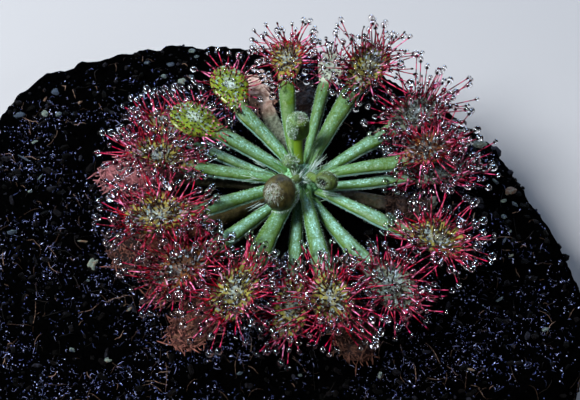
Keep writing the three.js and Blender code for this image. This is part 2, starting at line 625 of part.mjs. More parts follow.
// Each tentacle takes the first lift and swing that keep it clear of every other piece.
function growTentacles(leaf, sites, liftsFor, bare) {
  for (const site of sites) {
    const others = [
      ...YOUNG.flatMap(youngBalls),
      ...bodies.filter((b) => b !== leaf).flatMap((b) => bodyBalls.get(b.name)),
      ...[...grown.values()].flat().flatMap(tentacleBalls),
    ];
    const choices = liftsFor(site).flatMap((lift) => SWINGS.map((swing) => [lift, swing]));
    const found = choices
      .map(([lift, swing]) => tentacleAt(leaf, site, lift, swing, bare))
      .find((tentacle) => isClear(tentacleBalls(tentacle), others));
    if (found) grown.get(leaf.name).push(found);
  }
}

living.forEach((leaf, i) => {
  growTentacles(leaf, tentacleSites(leaf, i), (site) => (site.onEdge ? EDGE_LIFTS : FACE_LIFTS), false);
});
withered.forEach((leaf, i) => {
  growTentacles(leaf, bristleSites(i), () => BRISTLE_LIFTS, true);
});

const plant = new THREE.Group();

function place(name, solid, finish) {
  const mesh = new THREE.Mesh(geometryOf(solid), new THREE.MeshStandardMaterial(finish));
  mesh.name = name;
  plant.add(mesh);
}

function placeLeaf(leaf, finish) {
  place(leaf.name, united([leafBody(leaf), ...grown.get(leaf.name).map(tentacleSolid)]), finish);
}

place("peat", peatSolid(), FINISH.peat);
place("crown", crownSolid(), FINISH.crown);
for (const young of YOUNG) place(young.name, youngSolid(young), FINISH.young);
for (const leaf of living) placeLeaf(leaf, FINISH.living);
for (const leaf of withered) placeLeaf(leaf, FINISH.withered);

export default plant;
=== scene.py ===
"""A rosette sundew on its hummock of peat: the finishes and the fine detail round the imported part."""

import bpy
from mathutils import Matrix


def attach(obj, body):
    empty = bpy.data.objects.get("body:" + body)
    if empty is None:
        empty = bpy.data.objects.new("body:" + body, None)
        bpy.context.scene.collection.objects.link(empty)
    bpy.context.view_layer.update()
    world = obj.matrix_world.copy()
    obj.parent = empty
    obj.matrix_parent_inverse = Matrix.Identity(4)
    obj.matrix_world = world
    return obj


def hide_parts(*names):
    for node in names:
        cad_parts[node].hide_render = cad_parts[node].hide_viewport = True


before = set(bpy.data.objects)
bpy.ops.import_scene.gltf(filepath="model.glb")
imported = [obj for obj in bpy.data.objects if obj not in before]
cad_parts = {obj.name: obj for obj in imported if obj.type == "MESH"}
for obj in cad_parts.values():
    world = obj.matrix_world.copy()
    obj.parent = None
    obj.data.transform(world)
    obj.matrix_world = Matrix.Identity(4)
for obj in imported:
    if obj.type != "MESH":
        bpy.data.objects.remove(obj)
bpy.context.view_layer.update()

import math

import bpy
import numpy as np

# ---------------------------------------------------------------- sizes, in millimetres

PEAT_TOP = 13.0
PEAT_CENTRE = np.array([-4.0, -3.0])
PEAT_RIM = np.array([
    [29.5, 1.5], [24, 12.5], [13, 21.5], [0, 26.5], [-14, 28], [-28, 26], [-38.5, 19.5], [-42.5, 7],
    [-43, -8], [-41, -22], [-32, -31.5], [-15, -34.5], [4, -34.5], [21, -33], [32.5, -26], [35, -15],
    [32.5, -5],
])
PEAT_FALL = 3.2
PEAT_SPOKES, PEAT_RINGS, FLANK_RINGS = 400, 140, 22
SHOULDER = 0.985  # share of the way to the rim at which the top turns into the flank
FLANK_KNOTS = [0, 0.3, 0.55, 0.8, 1.0]  # places down the flank, and its width and height there
FLANK_WIDTH = [SHOULDER, 1.0, 1.005, 0.985, 0.965]
FLANK_HEIGHT = [1.0, 0.72, 0.42, 0.19, 0.0]
CLEAR_OF_CROWN = 10.0  # litter lies further out than this

CROWN_RADIUS = 2.4
CROWN_TOP = 4.1
ROOTED_AT = 2.75
CEILING = (23.1, 0.5)  # tentacles creep up past the first height by the second at most

NECK_AT = 0.55  # share of a leaf's run at which its stalk ends
ROUND_FROM = 0.6
BLADE_THICK = 0.62
STALK_HALF = {"root": 0.5, "waist": 0.72, "neck": 1.02}
STALK_THICK = {"root": 0.6, "waist": 0.9, "neck": 0.95}
RIPPLE = {"pace": 27, "between": 2.2}  # pace of a dry edge's ripples, and its two sides' lag

# Azimuths of root, neck and tip, distances of neck and tip from the axis, five heights over the peat,
# blade width, stalk width over the usual, cup, roll, tentacle reach, the finish, and the share of pale
# frost on the stalk.
LIVING_KEYS = ("azimuth", "neck", "tip", "z", "width", "stalk", "cup", "roll", "reach", "finish", "frost")
LIVING = [
    ((108, 98.5, 95), 12.8, 20.3, (3.2, 4.8, 6.2, 6.6, 6.0), 4.4, 1, 0.22, -6, 3.3, "russet", 0.0),
    ((80, 78, 76), 14.2, 19.2, (2.2, 3.4, 4.6, 5.2, 5.5), 3.5, 0.8, 0.15, 8, 2.4, "mint", 0.45),
    ((62, 60, 61), 12.6, 21.4, (3.6, 5.4, 6.7, 7.1, 6.8), 4.8, 1.12, 0.12, 10, 4.2, "olive", 0.35),
    ((29, 30, 33), 12.4, 21.3, (2.3, 3.5, 4.3, 4.7, 4.4), 4.9, 1, 0.16, 6, 4.3, "pale", 0.85),
    ((8, 6, 11), 12.4, 18.8, (3.4, 4.1, 4.9, 5.9, 6.2), 4.4, 1, 0.1, 6, 4.3, "dark", 0.4),
    ((-10, 2, 4.5), 12.5, 21.0, (1.9, 2.3, 2.6, 3.0, 3.1), 4.5, 0.85, 0.16, -4, 4.2, "pale", 0.9),
    ((-36, -35, -31.5), 14.6, 22.8, (2.6, 3.3, 4.0, 4.6, 4.4), 5.4, 1, 0.28, -6, 3.8, "olive", 0.8),
    ((-65, -60, -57), 15.0, 23.4, (2.0, 2.9, 4.0, 4.4, 3.8), 5.2, 1, 0.1, 6, 4.2, "pale", 0.95),
    ((-82, -81, -80), 15.6, 23.0, (3.4, 4.7, 5.8, 5.8, 4.9), 4.8, 1.1, 0.08, 4, 5.2, "olive", 0.9),
    ((-98, -94, -95), 13.4, 22.8, (2.1, 2.3, 2.4, 2.3, 1.7), 4.5, 0.9, 0.05, 8, 3.6, "olive", 0.85),
    ((-115, -111.5, -114), 15.4, 24.0, (3.3, 4.7, 5.8, 5.9, 4.8), 5.0, 1.25, 0.08, -4, 4.4, "olive", 0.45),
    ((-133, -134, -137), 15.2, 23.8, (2.3, 3.0, 4.0, 4.2, 3.4), 5.1, 1, 0.12, -6, 4.2, "dark", 0.85),
    ((-152, -153, -158), 14.0, 23.2, (3.3, 4.2, 5.3, 6.0, 5.8), 5.6, 1.1, 0.2, -4, 4.6, "russet", 0.6),
    ((178, 175, 171), 13.2, 22.0, (2.6, 3.2, 3.8, 4.6, 4.7), 4.9, 1, 0.26, 6, 4.2, "olive", 0.5),
    ((166, 158, 154), 14.6, 22.0, (1.7, 2.4, 3.0, 3.5, 3.7), 4.3, 0.8, 0.12, 8, 3.1, "russet", 0.8),
    ((153, 155, 156), 11.0, 17.9, (3.4, 4.7, 6.1, 7.6, 7.9), 5.3, 1.1, -0.12, 4, 2.3, "bright", 1.0),
    ((130, 133.5, 126), 11.0, 17.6, (4.1, 5.4, 6.8, 7.8, 7.9), 4.7, 1.05, -0.08, 2, 2.3, "bright", 0.9),
]

# Azimuth, neck, tip, width, height of the root, depth of the ripples, lift, root, and finish.
WITHERED_KEYS = ("heading", "neck", "tip", "width", "base", "wave", "lift", "root", "finish")
WITHERED = [
    (174, 16.5, 25.8, 5.2, 0.8, 0.35, 0, ROOTED_AT, "salmon"),
    (205, 14.5, 25.5, 6.0, 1.0, 0.4, 0, ROOTED_AT, "rust"),
    (237, 17.6, 27.2, 5.0, 0.9, 0.3, 0, ROOTED_AT, "moss_red"),
    (286, 16.4, 25.4, 5.2, 0.9, 0.4, 0, ROOTED_AT, "brown"),
    (88, 10.5, 18.4, 3.0, 0.8, 0.3, 0, ROOTED_AT, "shade"),
    (112, 11.6, 17.6, 3.8, 2.0, 0.15, 2.4, ROOTED_AT, "tan"),
    (348, 10.6, 16.6, 3.2, 0.8, 0.3, 0, ROOTED_AT, "shade"),
    (222, 15.5, 24.4, 4.6, 0.9, 0.35, 0, 6.0, "rust"),
]
WITHERED_ABOVE = np.array([0, 1.15, 1.1, 1.25, 1.05])  # the midrib's heights over the peat
WITHERED_LIFT = np.array([0, 0.55, 0.9, 1, 1])  # shares of the lift at the same places

# Rolled young leaves: stalk points and the balls of the rolled blade with their half-axes, in
# millimetres from the crown's axis and the peat's surface, and their turn in degrees.
YOUNG_STALKS = {
    "young_1": ((-0.5, -1.0, 4.6), (-1.1, -2.2, 5.5), (-2.1, -3.8, 6.5)),
    "young_2": ((-0.3, 1.3, 4.4), (-0.5, 2.4, 6.0), (-0.5, 3.3, 7.6)),
    "young_3": ((0.9, -0.5, 4.4), (1.8, -1.5, 5.0), (2.7, -2.2, 5.5)),
    "young_4": ((-0.9, 0.0, 4.2), (-1.2, 0.2, 5.2), (-1.4, 0.3, 5.8)),
}
YOUNG_BALLS = {
    "young_1": ((-2.76, -5.35, 7.4), (2.15, 2.3, 2.2), -20),
    "young_2": ((-0.5, 3.75, 8.85), (1.42, 1.3, 1.85), 0),
    "young_3": ((3.0, -2.4, 5.8), (1.45, 1.2, 1.2), -20),
    "young_4": ((-1.5, 0.3, 6.1), (0.95, 0.75, 0.75), 0),
}

# Chips and sticks that lie on the peat: place, length, width, turn in degrees, and tone from bluish
# through white to tan.
CHIPS = [
    (-25.8, -10.3, 2.3, 1.5, 70, 0.62), (-17.7, 24.0, 1.5, 1.0, 20, 0.15), (-14.9, 25.4, 1.4, 0.9, 35, 0.45),
    (-14.2, 24.2, 0.9, 0.8, 0, 0.3), (-16.0, 19.4, 1.5, 1.1, -20, 0.55), (-14.8, 20.6, 0.9, 0.7, 10, 0.3),
    (-18.5, 20.8, 0.8, 0.8, 0, 0.35), (-21.0, 23.9, 1.0, 0.7, 10, 0.15), (-33.0, 18.4, 1.4, 1.2, 0, 0.1),
    (-34.5, 17.6, 1.6, 0.4, 60, 1.0), (-34.1, 14.8, 1.5, 1.0, -35, 0.5), (-32.1, 14.2, 1.0, 0.9, 0, 0.25),
    (-30.1, 14.6, 0.7, 0.6, 0, 0.2), (-29.4, 15.8, 0.8, 0.5, 50, 0.95), (-35.1, 10.1, 1.1, 0.6, 10, 0.5),
    (-37.6, 14.9, 2.2, 1.1, 35, 0.12), (-36.3, 7.6, 2.2, 0.35, -40, 0.15), (20.2, 14.3, 1.6, 1.1, 20, 0.3),
    (21.2, 12.9, 2.3, 1.1, -15, 0.35), (23.4, 10.0, 2.3, 1.5, -30, 0.55), (16.4, -0.9, 2.0, 1.8, 40, 0.65),
    (24.9, 3.0, 1.3, 0.6, -40, 0.3), (26.9, 2.2, 2.1, 1.5, 40, 0.9), (25.8, 0.3, 0.9, 0.6, 10, 0.5),
    (27.2, 0.1, 1.3, 0.7, -50, 0.3), (25.6, -2.3, 0.9, 0.8, 0, 0.3), (25.3, -6.3, 2.0, 0.4, 65, 0.1),
    (25.9, -8.6, 1.2, 0.35, 30, 0.6), (26.2, -4.4, 0.6, 0.5, 0, 0.4), (-33.6, 3.3, 1.6, 0.3, 60, 0.2),
    (-36.5, -4.7, 1.6, 0.9, 20, 0.15), (-34.7, 1.4, 0.8, 0.6, 0, 0.4), (-27.3, -6.9, 1.6, 0.35, -5, 0.85),
    (-26.2, -12.6, 0.6, 0.5, 0, 0.3), (-27.5, -22.0, 0.9, 0.7, 0, 0.4), (-23.2, -23.6, 1.2, 1.0, 30, 0.55),
    (-20.8, -17.4, 1.4, 0.5, 50, 0.8), (29.3, -18.9, 1.0, 0.6, 20, 0.4), (19.8, -24.8, 1.2, 0.4, -20, 0.85),
    (24.0, -15.2, 1.5, 0.35, 35, 0.2), (9.1, -25.6, 1.4, 0.5, 80, 0.5), (-0.3, -25.7, 0.7, 0.6, 0, 0.3),
    (-7.4, -25.2, 0.9, 0.5, 0, 0.2),
]

# Fans of pale hairs among the stalks: root, direction, length, spread in degrees, and number.
HAIR_FANS = [
    ((-0.2, -1.5, 4.0), (0.75, 0.6, 0.25), 2.5, 12, 16), ((0.5, -0.4, 4.2), (0.62, 0.72, 0.3), 2.3, 22, 26),
    ((-0.9, -1.3, 5.0), (0.35, 0.8, 0.4), 1.9, 18, 18), ((0.1, -1.2, 4.6), (0.5, -0.3, 0.5), 1.4, 30, 14),
    ((1.3, 1.0, 3.9), (0.72, 0.62, 0.35), 2.3, 13, 16), ((-0.6, 0.9, 4.0), (-0.2, 0.8, 0.5), 1.6, 40, 16),
    ((-5.4, -1.2, 3.9), (-0.96, 0.2, 0.15), 2.0, 9, 7), ((-4.6, 0.9, 4.1), (-0.9, 0.35, 0.2), 1.7, 16, 8),
    ((-2.4, -5.4, 4.4), (-0.5, -0.8, 0.2), 1.7, 22, 9), ((2.6, -2.7, 4.0), (0.95, -0.1, 0.15), 2.2, 14, 12),
    ((-4.9, -4.2, 3.6), (-0.9, -0.45, 0.1), 2.1, 10, 6), ((0.6, -2.6, 3.6), (0.2, -0.9, 0.4), 1.2, 30, 10),
    ((-2.2, 2.2, 3.9), (-0.6, 0.7, 0.3), 1.4, 24, 10), ((2.4, 0.6, 3.6), (0.9, 0.3, 0.3), 1.5, 26, 10),
]

# Barer and richer spots of the litter: place, width, and change of its share.
LITTER_SPOTS = [(-8.5, -25.0, 5.0, -0.3), (27.0, -15.0, 6.0, 0.15), (25.0, -25.0, 5.0, 0.12)]

# Drops that have grown larger than their neighbours, as places seen from above and radii.
SWOLLEN = [
    ((11.6, -22.3), 0.72), ((8.9, -5.9), 0.6), ((10.1, -7.7), 0.55), ((21.4, -5.8), 0.58),
    ((17.6, 2.7), 0.5), ((-21.5, -1.9), 0.5), ((6.2, -13.6), 0.6), ((-8.5, -11.0), 0.55),
]
BRIDGES = {"count": 16, "over": 0.75, "under": 1.9}  # drops that run together, and how far apart they are

MM = 0.001
UP = np.array([0.0, 0.0, 1.0])
SIDEWAYS = np.array([1.0, 0.0, 0.0])
TO_RIM = np.array([-0.4, -0.74, 0.52])
LIT_FROM = np.array([-0.4, 0.4, 0.8])
ON_PEAT = [0, 0, PEAT_TOP]

# ---------------------------------------------------------------- arithmetic on whole arrays


def lerp(a, b, w):
    """a where w is 0, b where w is 1, and evenly between."""
    return a + (b - a) * w


def smooth(x):
    """0 up to x = 0, 1 from x = 1, and 3x^2 - 2x^3 between."""
    x = np.clip(x, 0, 1)
    return x * x * (3 - 2 * x)


def bell(x, middle, width):
    """1 at the middle, and e to the minus square of the distance over the width."""
    return np.exp(-(((x - middle) / width) ** 2))


def unit(v):
    """Vectors of length one along the last axis."""
    return v / np.maximum(np.linalg.norm(v, axis=-1, keepdims=True), 1e-9)


def column(v):
    """Values with a last axis of one, to scale vectors."""
    return v[..., None]


def turns(count, start=0.0):
    """Angles evenly spaced over a full turn."""
    return (np.arange(count) + start) / count * 2 * math.pi


def angles(rng, *shape):
    """Random angles over a full turn."""
    return rng.random(shape) * 2 * math.pi


def turned(x, y, cosine, sine):
    """Places turned about the origin."""
    return x * cosine - y * sine, x * sine + y * cosine


def value_noise(x, y, cell, seed):
    """Random heights from 0 to 1 on a square lattice of the given cell, blended smoothly between."""
    size = 64
    table = np.random.default_rng(seed).random((size, size))
    gx, gy = np.asarray(x) / cell, np.asarray(y) / cell
    ix, iy = np.floor(gx).astype(int), np.floor(gy).astype(int)
    wx, wy = smooth(gx - ix), smooth(gy - iy)
    low, high = (
        lerp(table[ix % size, row % size], table[(ix + 1) % size, row % size], wx) for row in (iy, iy + 1)
    )
    return lerp(low, high, wy)


def layered_noise(x, y, cell, layers, seed, crested=False):
    """Layers of value noise, each of half the cell and six tenths of the weight of the last, 0 to 1.
    A crested layer is moved aside and is one less twice its distance from its middle."""
    total, weight, norm = 0.0, 1.0, 0.0
    for layer in range(layers):
        aside = (3.7 * layer, -1.9 * layer) if crested else (0, 0)
        wave = value_noise(x + aside[0], y + aside[1], cell / 2**layer, seed + layer)
        total = total + weight * (1 - np.abs(2 * wave - 1) if crested else wave)
        norm += weight
        weight *= 0.6
    return total / norm


# ---------------------------------------------------------------- meshes


def tube_faces(rings, sides):
    """Quads between neighbouring rings of a tube, and triangles that close each end on a pole."""
    r, k = np.meshgrid(np.arange(rings - 1), np.arange(sides), indexing="ij")
    a = r * sides + k
    b = r * sides + (k + 1) % sides
    quads = np.stack([a, b, b + sides, a + sides], axis=-1).reshape(-1, 4)
    k = np.arange(sides)
    after, last, pole = (k + 1) % sides, (rings - 1) * sides, np.full(sides, rings * sides)
    first_end = np.stack([after, k, pole], axis=-1)
    last_end = np.stack([k + last, after + last, pole + 1], axis=-1)
    return [quads, first_end, last_end]


def tubes(rings, poles):
    """Points, faces and points apiece of many like tubes: tubes x rings x sides x 3, and each one's
    two poles."""
    count, along, sides = rings.shape[:3]
    whole = np.concatenate([rings.reshape(count, along * sides, 3), poles], axis=1)
    step = whole.shape[1]
    shift = (np.arange(count) * step)[:, None, None]
    faces = [(f[None] + shift).reshape(-1, f.shape[1]) for f in tube_faces(along, sides)]
    return whole.reshape(-1, 3), faces, step


def closed_tube(points):
    """Points and faces of one tube of rings x sides x 3, each end closed on the middle of its ring."""
    poles = np.stack([points[0].mean(axis=0), points[-1].mean(axis=0)])
    return tubes(points[None], poles[None])[:2]


def two_across(ahead, overall):
    """Two unit vectors square to each direction, steady along a path with this overall direction."""
    helper = np.where(np.abs(overall[..., 2:3]) > 0.9, SIDEWAYS, UP)
    side = unit(np.cross(ahead, helper))
    return side, np.cross(side, ahead)


def strands(paths, radii, sides, flat=1.0):
    """Many thin tubes: a circle of the given radius carried along each path, points at both ends.
    paths: count x rings x 3. radii: count x rings. flat squeezes the circle one way."""
    overall = unit(paths[:, -1:] - paths[:, :1])
    side, other = two_across(unit(np.gradient(paths, axis=1)), overall)
    angle = column(turns(sides))
    round_ = np.cos(angle) * side[:, :, None] + flat * np.sin(angle) * other[:, :, None]
    return tubes(paths[:, :, None] + radii[:, :, None, None] * round_, paths[:, [0, -1]])


def beads(centres, axes, radii, stretch, sides, rings):
    """Many balls stretched along their axes: circles of radius R sin(a) at R cos(a) along the axis."""
    side, other = two_across(axes, axes)
    polar = ((np.arange(rings) + 1) / (rings + 1) * math.pi)[:, None, None]
    angle = column(turns(sides))
    reach = radii * stretch
    along = -np.cos(polar) * reach[:, None, None, None] * axes[:, None, None]
    round_ = np.cos(angle) * side[:, None, None] + np.sin(angle) * other[:, None, None]
    out = np.sin(polar) * radii[:, None, None, None] * round_
    tips = np.stack([centres - axes * column(reach), centres + axes * column(reach)], axis=1)
    return tubes(centres[:, None, None] + along + out, tips)


def joined(parts):
    """Points, faces and values of several meshes as one."""
    points, faces, values, start = [], [], {}, 0
    for part_points, part_faces, part_values in parts:
        points.append(part_points)
        faces += [f + start for f in part_faces]
        start += len(part_points)
        for key, value in part_values.items():
            values.setdefault(key, []).append(value)
    return np.vstack(points), faces, {key: np.concatenate(v) for key, v in values.items()}


def outward(points, faces):
    """The faces, turned over if the closed mesh they make has a negative volume."""
    volume = 0.0
    for f in faces:
        for k in range(1, f.shape[1] - 1):
            a, b, c = points[f[:, 0]], points[f[:, k]], points[f[:, k + 1]]
            volume += np.einsum("ij,ij->i", a, np.cross(b, c)).sum()
    return faces if volume > 0 else [f[:, ::-1] for f in faces]


def piece(name, points, faces, material, replaced=(), values=None, faceted=False):
    """One mesh object from points in millimetres and a list of face arrays, with values on its points."""
    faces = outward(points, faces)
    mesh = bpy.data.meshes.new(name)
    loops = np.concatenate([f.ravel() for f in faces]).astype(np.int32)
    sizes = np.concatenate([np.full(len(f), f.shape[1]) for f in faces])
    starts = np.concatenate([[0], np.cumsum(sizes)[:-1]]).astype(np.int32)
    mesh.vertices.add(len(points))
    mesh.vertices.foreach_set("co", (points * MM).astype(np.float32).ravel())
    mesh.loops.add(len(loops))
    mesh.loops.foreach_set("vertex_index", loops)
    mesh.polygons.add(len(sizes))
    mesh.polygons.foreach_set("loop_start", starts)
    for key, value in (values or {}).items():
        layer = mesh.attributes.new(key, "FLOAT", "POINT")
        layer.data.foreach_set("value", np.asarray(value, np.float32).ravel())
    mesh.update(calc_edges=True)
    mesh.validate()
    if faceted:
        mesh.shade_flat()
    else:
        mesh.shade_smooth()
    mesh.materials.append(material)
    obj = bpy.data.objects.new(name, mesh)
    bpy.context.collection.objects.link(obj)
    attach(obj, "root")
    for node in replaced:
        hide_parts(node)


# ---------------------------------------------------------------- shader values

SOCKETS = {"Color": "NodeSocketColor", "Roughness": "NodeSocketFloat", "Normal": "NodeSocketVector"}
SHADER_INPUTS = {"Color": "Base Color", "Roughness": "Roughness", "Normal": "Normal"}


def feed(socket, value):
    """Links a value of a shader to an input, or sets it. A plain colour may leave out its alpha."""
    if isinstance(value, Value):
        socket.id_data.links.new(value.socket, socket)
    elif socket.type == "RGBA" and len(value) == 3:
        socket.default_value = (*value, 1)
    else:
        socket.default_value = value


def new_node(tree, kind, numbered=None, **values):
    """A shader node with its plain settings and its inputs, by name or by number."""
    node = tree.nodes.new("ShaderNode" + kind)
    for key, value in values.items():
        if hasattr(node, key):
            setattr(node, key, value)
        else:
            feed(node.inputs[key.replace("_", " ")], value)
    for number, value in (numbered or {}).items():
        feed(node.inputs[number], value)
    return node


class Value:
    """A number, colour or vector on its way through a shader. Each sum, product or step of it is a
    node of its own."""

    def __init__(self, tree, socket):
        self.tree, self.socket = tree, socket

    def through(self, kind, output, numbered=None, **values):
        """An output of a new node."""
        return Value(self.tree, new_node(self.tree, kind, numbered, **values).outputs[output])

    def maths(self, operation, other=0.0):
        return self.through("Math", 0, {0: self, 1: other}, operation=operation)

    def __add__(self, other):
        return self.maths("ADD", other)

    def __sub__(self, other):
        return self.maths("SUBTRACT", other)

    def __mul__(self, other):
        return self.maths("MULTIPLY", other)

    def __abs__(self):
        return self.maths("ABSOLUTE")

    def step(self, low, high):
        """0 below low, 1 above high, smooth between."""
        return self.through("MapRange", "Result", interpolation_type="SMOOTHSTEP",
                            Value=self, From_Min=low, From_Max=high)

    def span(self, low, high):
        """Stretched from 0..1 to low..high."""
        return self * (high - low) + low

    def noise(self, per_mm, detail=3.0, rough=0.6):
        """Fine clouds of about the given count to the millimetre, at this place."""
        return self.through("TexNoise", "Fac", Vector=self, Scale=per_mm / MM, Detail=detail, Roughness=rough)

    def cells(self, per_mm):
        """Distance of this place from the nearest of scattered cell centres."""
        return self.through("TexVoronoi", "Distance", Vector=self, Scale=per_mm / MM)

    def bump(self, strength, distance):
        """A normal from this height."""
        return self.through("Bump", "Normal", Strength=strength, Distance=distance * MM, Height=self)


def mixed(factor, a, b, blend="MIX"):
    """A colour mix of values or plain colours."""
    known = next(v for v in (factor, a, b) if isinstance(v, Value))
    return known.through("Mix", 2, {0: factor, 6: a, 7: b}, data_type="RGBA", blend_type=blend)


def shader_group(**inputs):
    """Makes a node group of the function below it, with a colour input for each default of four
    numbers, a vector for three and a value for one. The function returns its outputs by name."""

    def make(build):
        group = bpy.data.node_groups.new(build.__name__, "ShaderNodeTree")
        for name, default in inputs.items():
            size = len(default) if isinstance(default, tuple) else 1
            kind = {4: "NodeSocketColor", 3: "NodeSocketVector", 1: "NodeSocketFloat"}[size]
            group.interface.new_socket(name, in_out="INPUT", socket_type=kind).default_value = default
        given = group.nodes.new("NodeGroupInput")
        outputs = build(**{name.lower(): Value(group, given.outputs[name]) for name in inputs})
        for name in outputs:
            group.interface.new_socket(name, in_out="OUTPUT", socket_type=SOCKETS[name])
        out = group.nodes.new("NodeGroupOutput")
        for name, value in outputs.items():
            feed(out.inputs[name], value)
        return group

    return make


@shader_group(Stalk=(0.2, 0.4, 0.1, 1), Frost=(0.6, 0.8, 0.6, 1), Blade=(0.3, 0.35, 0.05, 1),
              Heart=(0.15, 0.1, 0.03, 1), Edge=(0.4, 0.1, 0.05, 1), Along=0.5, Across=0.0, Cover=0.6,
              Lit=1.0, Silver=0.4, Vector=(0, 0, 0))
def leaf_skin(stalk, frost, blade, heart, edge, along, across, cover, lit, silver, vector):
    """Colour, roughness and relief of a living leaf: stalk, blade, its dark middle and its edge, with a
    frost of pale papillae on the stalk and dark gland bases on the blade. The stalk is darker on its side
    away from LIT_FROM (painted shade) and its frost is thicker on its lit side (painted highlight). The
    blade's near-black patches are partly its own dark red and partly painted shade among the tentacles;
    its pale cyan patches are a painted reflection of a wet film, and the pale patch in its middle a
    painted highlight."""
    # Painted light among these: the shadow tone, the pale cyan of a wet film (a painted reflection) and the
    # pale glint colour (a painted highlight).
    shadow, pale_root, painted_wet_sheen = (0.5, 0.5, 0.55), (0.09, 0.22, 0.05), (0.2, 0.28, 0.29)
    painted_glint, gland = (0.4, 0.5, 0.52), (0.012, 0.0015, 0.002)
    away = abs(across)
    clouds = vector.noise(0.55, 4)
    grain = vector.noise(3.0, 3, 0.75)
    specks = grain.step(0.44, 0.56)
    dots = vector.cells(2.0)
    uneven = away + clouds * 0.5

    shade = mixed(clouds.step(0.35, 0.65), stalk, mixed(0.04, stalk, frost))
    # Painted shade: the stalk darkens on its side away from LIT_FROM.
    shade = mixed(lit.step(0.8, 0.2), shade, shadow, "MULTIPLY")
    shade = mixed(along.step(0.36, 0.1) * 0.25, shade, pale_root)
    lengthwise = along.through("CombineXYZ", "Vector", X=along * 0.022, Y=across * 0.003)
    papillae = vector.cells(3.6).step(0.5, 0.2) * specks.span(0.3, 1.0)
    frosting = uneven.step(1.15, 0.4) * papillae.span(0.28, 1.0)
    frosting = frosting * cover * lengthwise.noise(1.0, 3).step(0.42, 0.56).span(0.35, 1.0)
    # Painted highlight: the frost is thicker on the stalk's lit side.
    frosting = frosting * lit.span(0.1, 1.0) * along.step(0.5, 0.28).span(0.6, 1.0)
    stalk = mixed(frosting, shade, frost)
    stalk = mixed(away.step(0.95, 1.0) * 0.4, stalk, frost)

    # Near-black patches towards the middle of the blade: partly its own dark red, partly painted shade.
    blade = mixed(uneven.step(0.95, 0.3) * along.step(0.6, 0.78) * 0.5, blade, heart)
    blade = mixed(away.step(0.72, 1.0) * 0.8, blade, edge)
    blade = mixed(along.step(0.96, 1.0), blade, edge)
    # Scattered near-black patches: partly the blade's own dark red, partly painted shade among the tentacles.
    blade = mixed(vector.noise(1.5, 2, 0.5).step(0.47, 0.54) * 0.95, blade, heart)
    # Painted reflection: pale cyan patches where a wet film catches the light.
    wet = vector.noise(2.0, 2, 0.5).step(0.57, 0.63) * away.step(0.85, 0.6)
    blade = mixed(wet * 0.6, blade, painted_wet_sheen)
    # Painted highlight: a pale glint patch in the middle of the blade.
    middle = abs(along - 0.8).step(0.075, 0.03) * away.step(0.34, 0.12)
    blade = mixed(middle * specks.span(0.15, 1.0) * silver, blade, painted_glint)
    blade = mixed(dots.step(0.28, 0.16), blade, gland)

    neck = (along + (clouds - 0.5) * 0.12).step(0.53, 0.64)
    relief = (grain + dots * 0.8) * along.step(0.5, 0.62).span(0.45, 1.0)
    return {"Color": mixed(neck, stalk, blade), "Roughness": grain.span(0.12, 0.42),
            "Normal": relief.bump(1.0, 0.18)}


@shader_group(Light=(0.5, 0.25, 0.15, 1), Dark=(0.1, 0.03, 0.02, 1), Hair=(0.4, 0.2, 0.1, 1),
              Stalk=(0.1, 0.1, 0.05, 1), Along=0.7, Tone=0.0, Brush=0.0, Vector=(0, 0, 0))
def dry_skin(light, dark, hair, stalk, along, tone, brush, vector):
    """Colour and relief of a withered leaf: a dull streaked stalk, a blade of two tones in blotches with
    dark creases, painted shade on the outer blade under the bristles of a brushed leaf, and bristles that
    take the hair's colour as their tone rises to one."""
    mud, painted_shade_under_bristles = (0.02, 0.012, 0.006), (0.006, 0.0015, 0.0012)
    flecks = vector.noise(2.4, 3, 0.7)
    creases = vector.cells(1.6)
    colour = mixed(vector.noise(0.8, 5, 0.7).step(0.42, 0.6), dark, light)
    colour = mixed(creases.step(0.25, 0.08), colour, dark)
    dull = mixed(flecks.step(0.42, 0.56), mixed(0.5, stalk, mud), stalk)
    colour = mixed(along.step(0.6, 0.45), colour, dull)
    # Painted shade: the outer blade darkens under the bristles where Brush is one.
    colour = mixed(along.step(0.76, 0.84) * brush, colour, painted_shade_under_bristles)
    colour = mixed(tone.step(0.1, 0.9), colour, hair)
    return {"Color": colour, "Normal": (flecks + creases).bump(0.9, 0.2)}


@shader_group(Dark=(0.006, 0.005, 0.005, 1), Middle=(0.05, 0.03, 0.02, 1), Pale=(0.2, 0.18, 0.17, 1),
              Tone=0.5, Grain=0.9, Vector=(0, 0, 0))
def wet_grain(dark, middle, pale, tone, grain, vector):
    """Colour, roughness and relief of peat and of what lies in it: three tones from dark to pale by
    the piece's own tone, finer bits of each, and wet patches that shine."""
    fine = vector.noise(3.0, 5, 0.75)
    value = tone + (fine - 0.5) * grain
    colour = mixed(value.step(0.25, 0.55), dark, middle)
    colour = mixed(value.step(0.6, 0.85), colour, pale)
    wetness = vector.noise(0.35, 6, 0.7).step(0.4, 0.6)
    return {"Color": colour, "Roughness": wetness.span(0.3, 0.8), "Normal": fine.bump(1.0, 0.25)}


# ---------------------------------------------------------------- materials

STALK_GREEN, STALK_FROST = (0.042, 0.085, 0.005), (0.33, 0.66, 0.66)
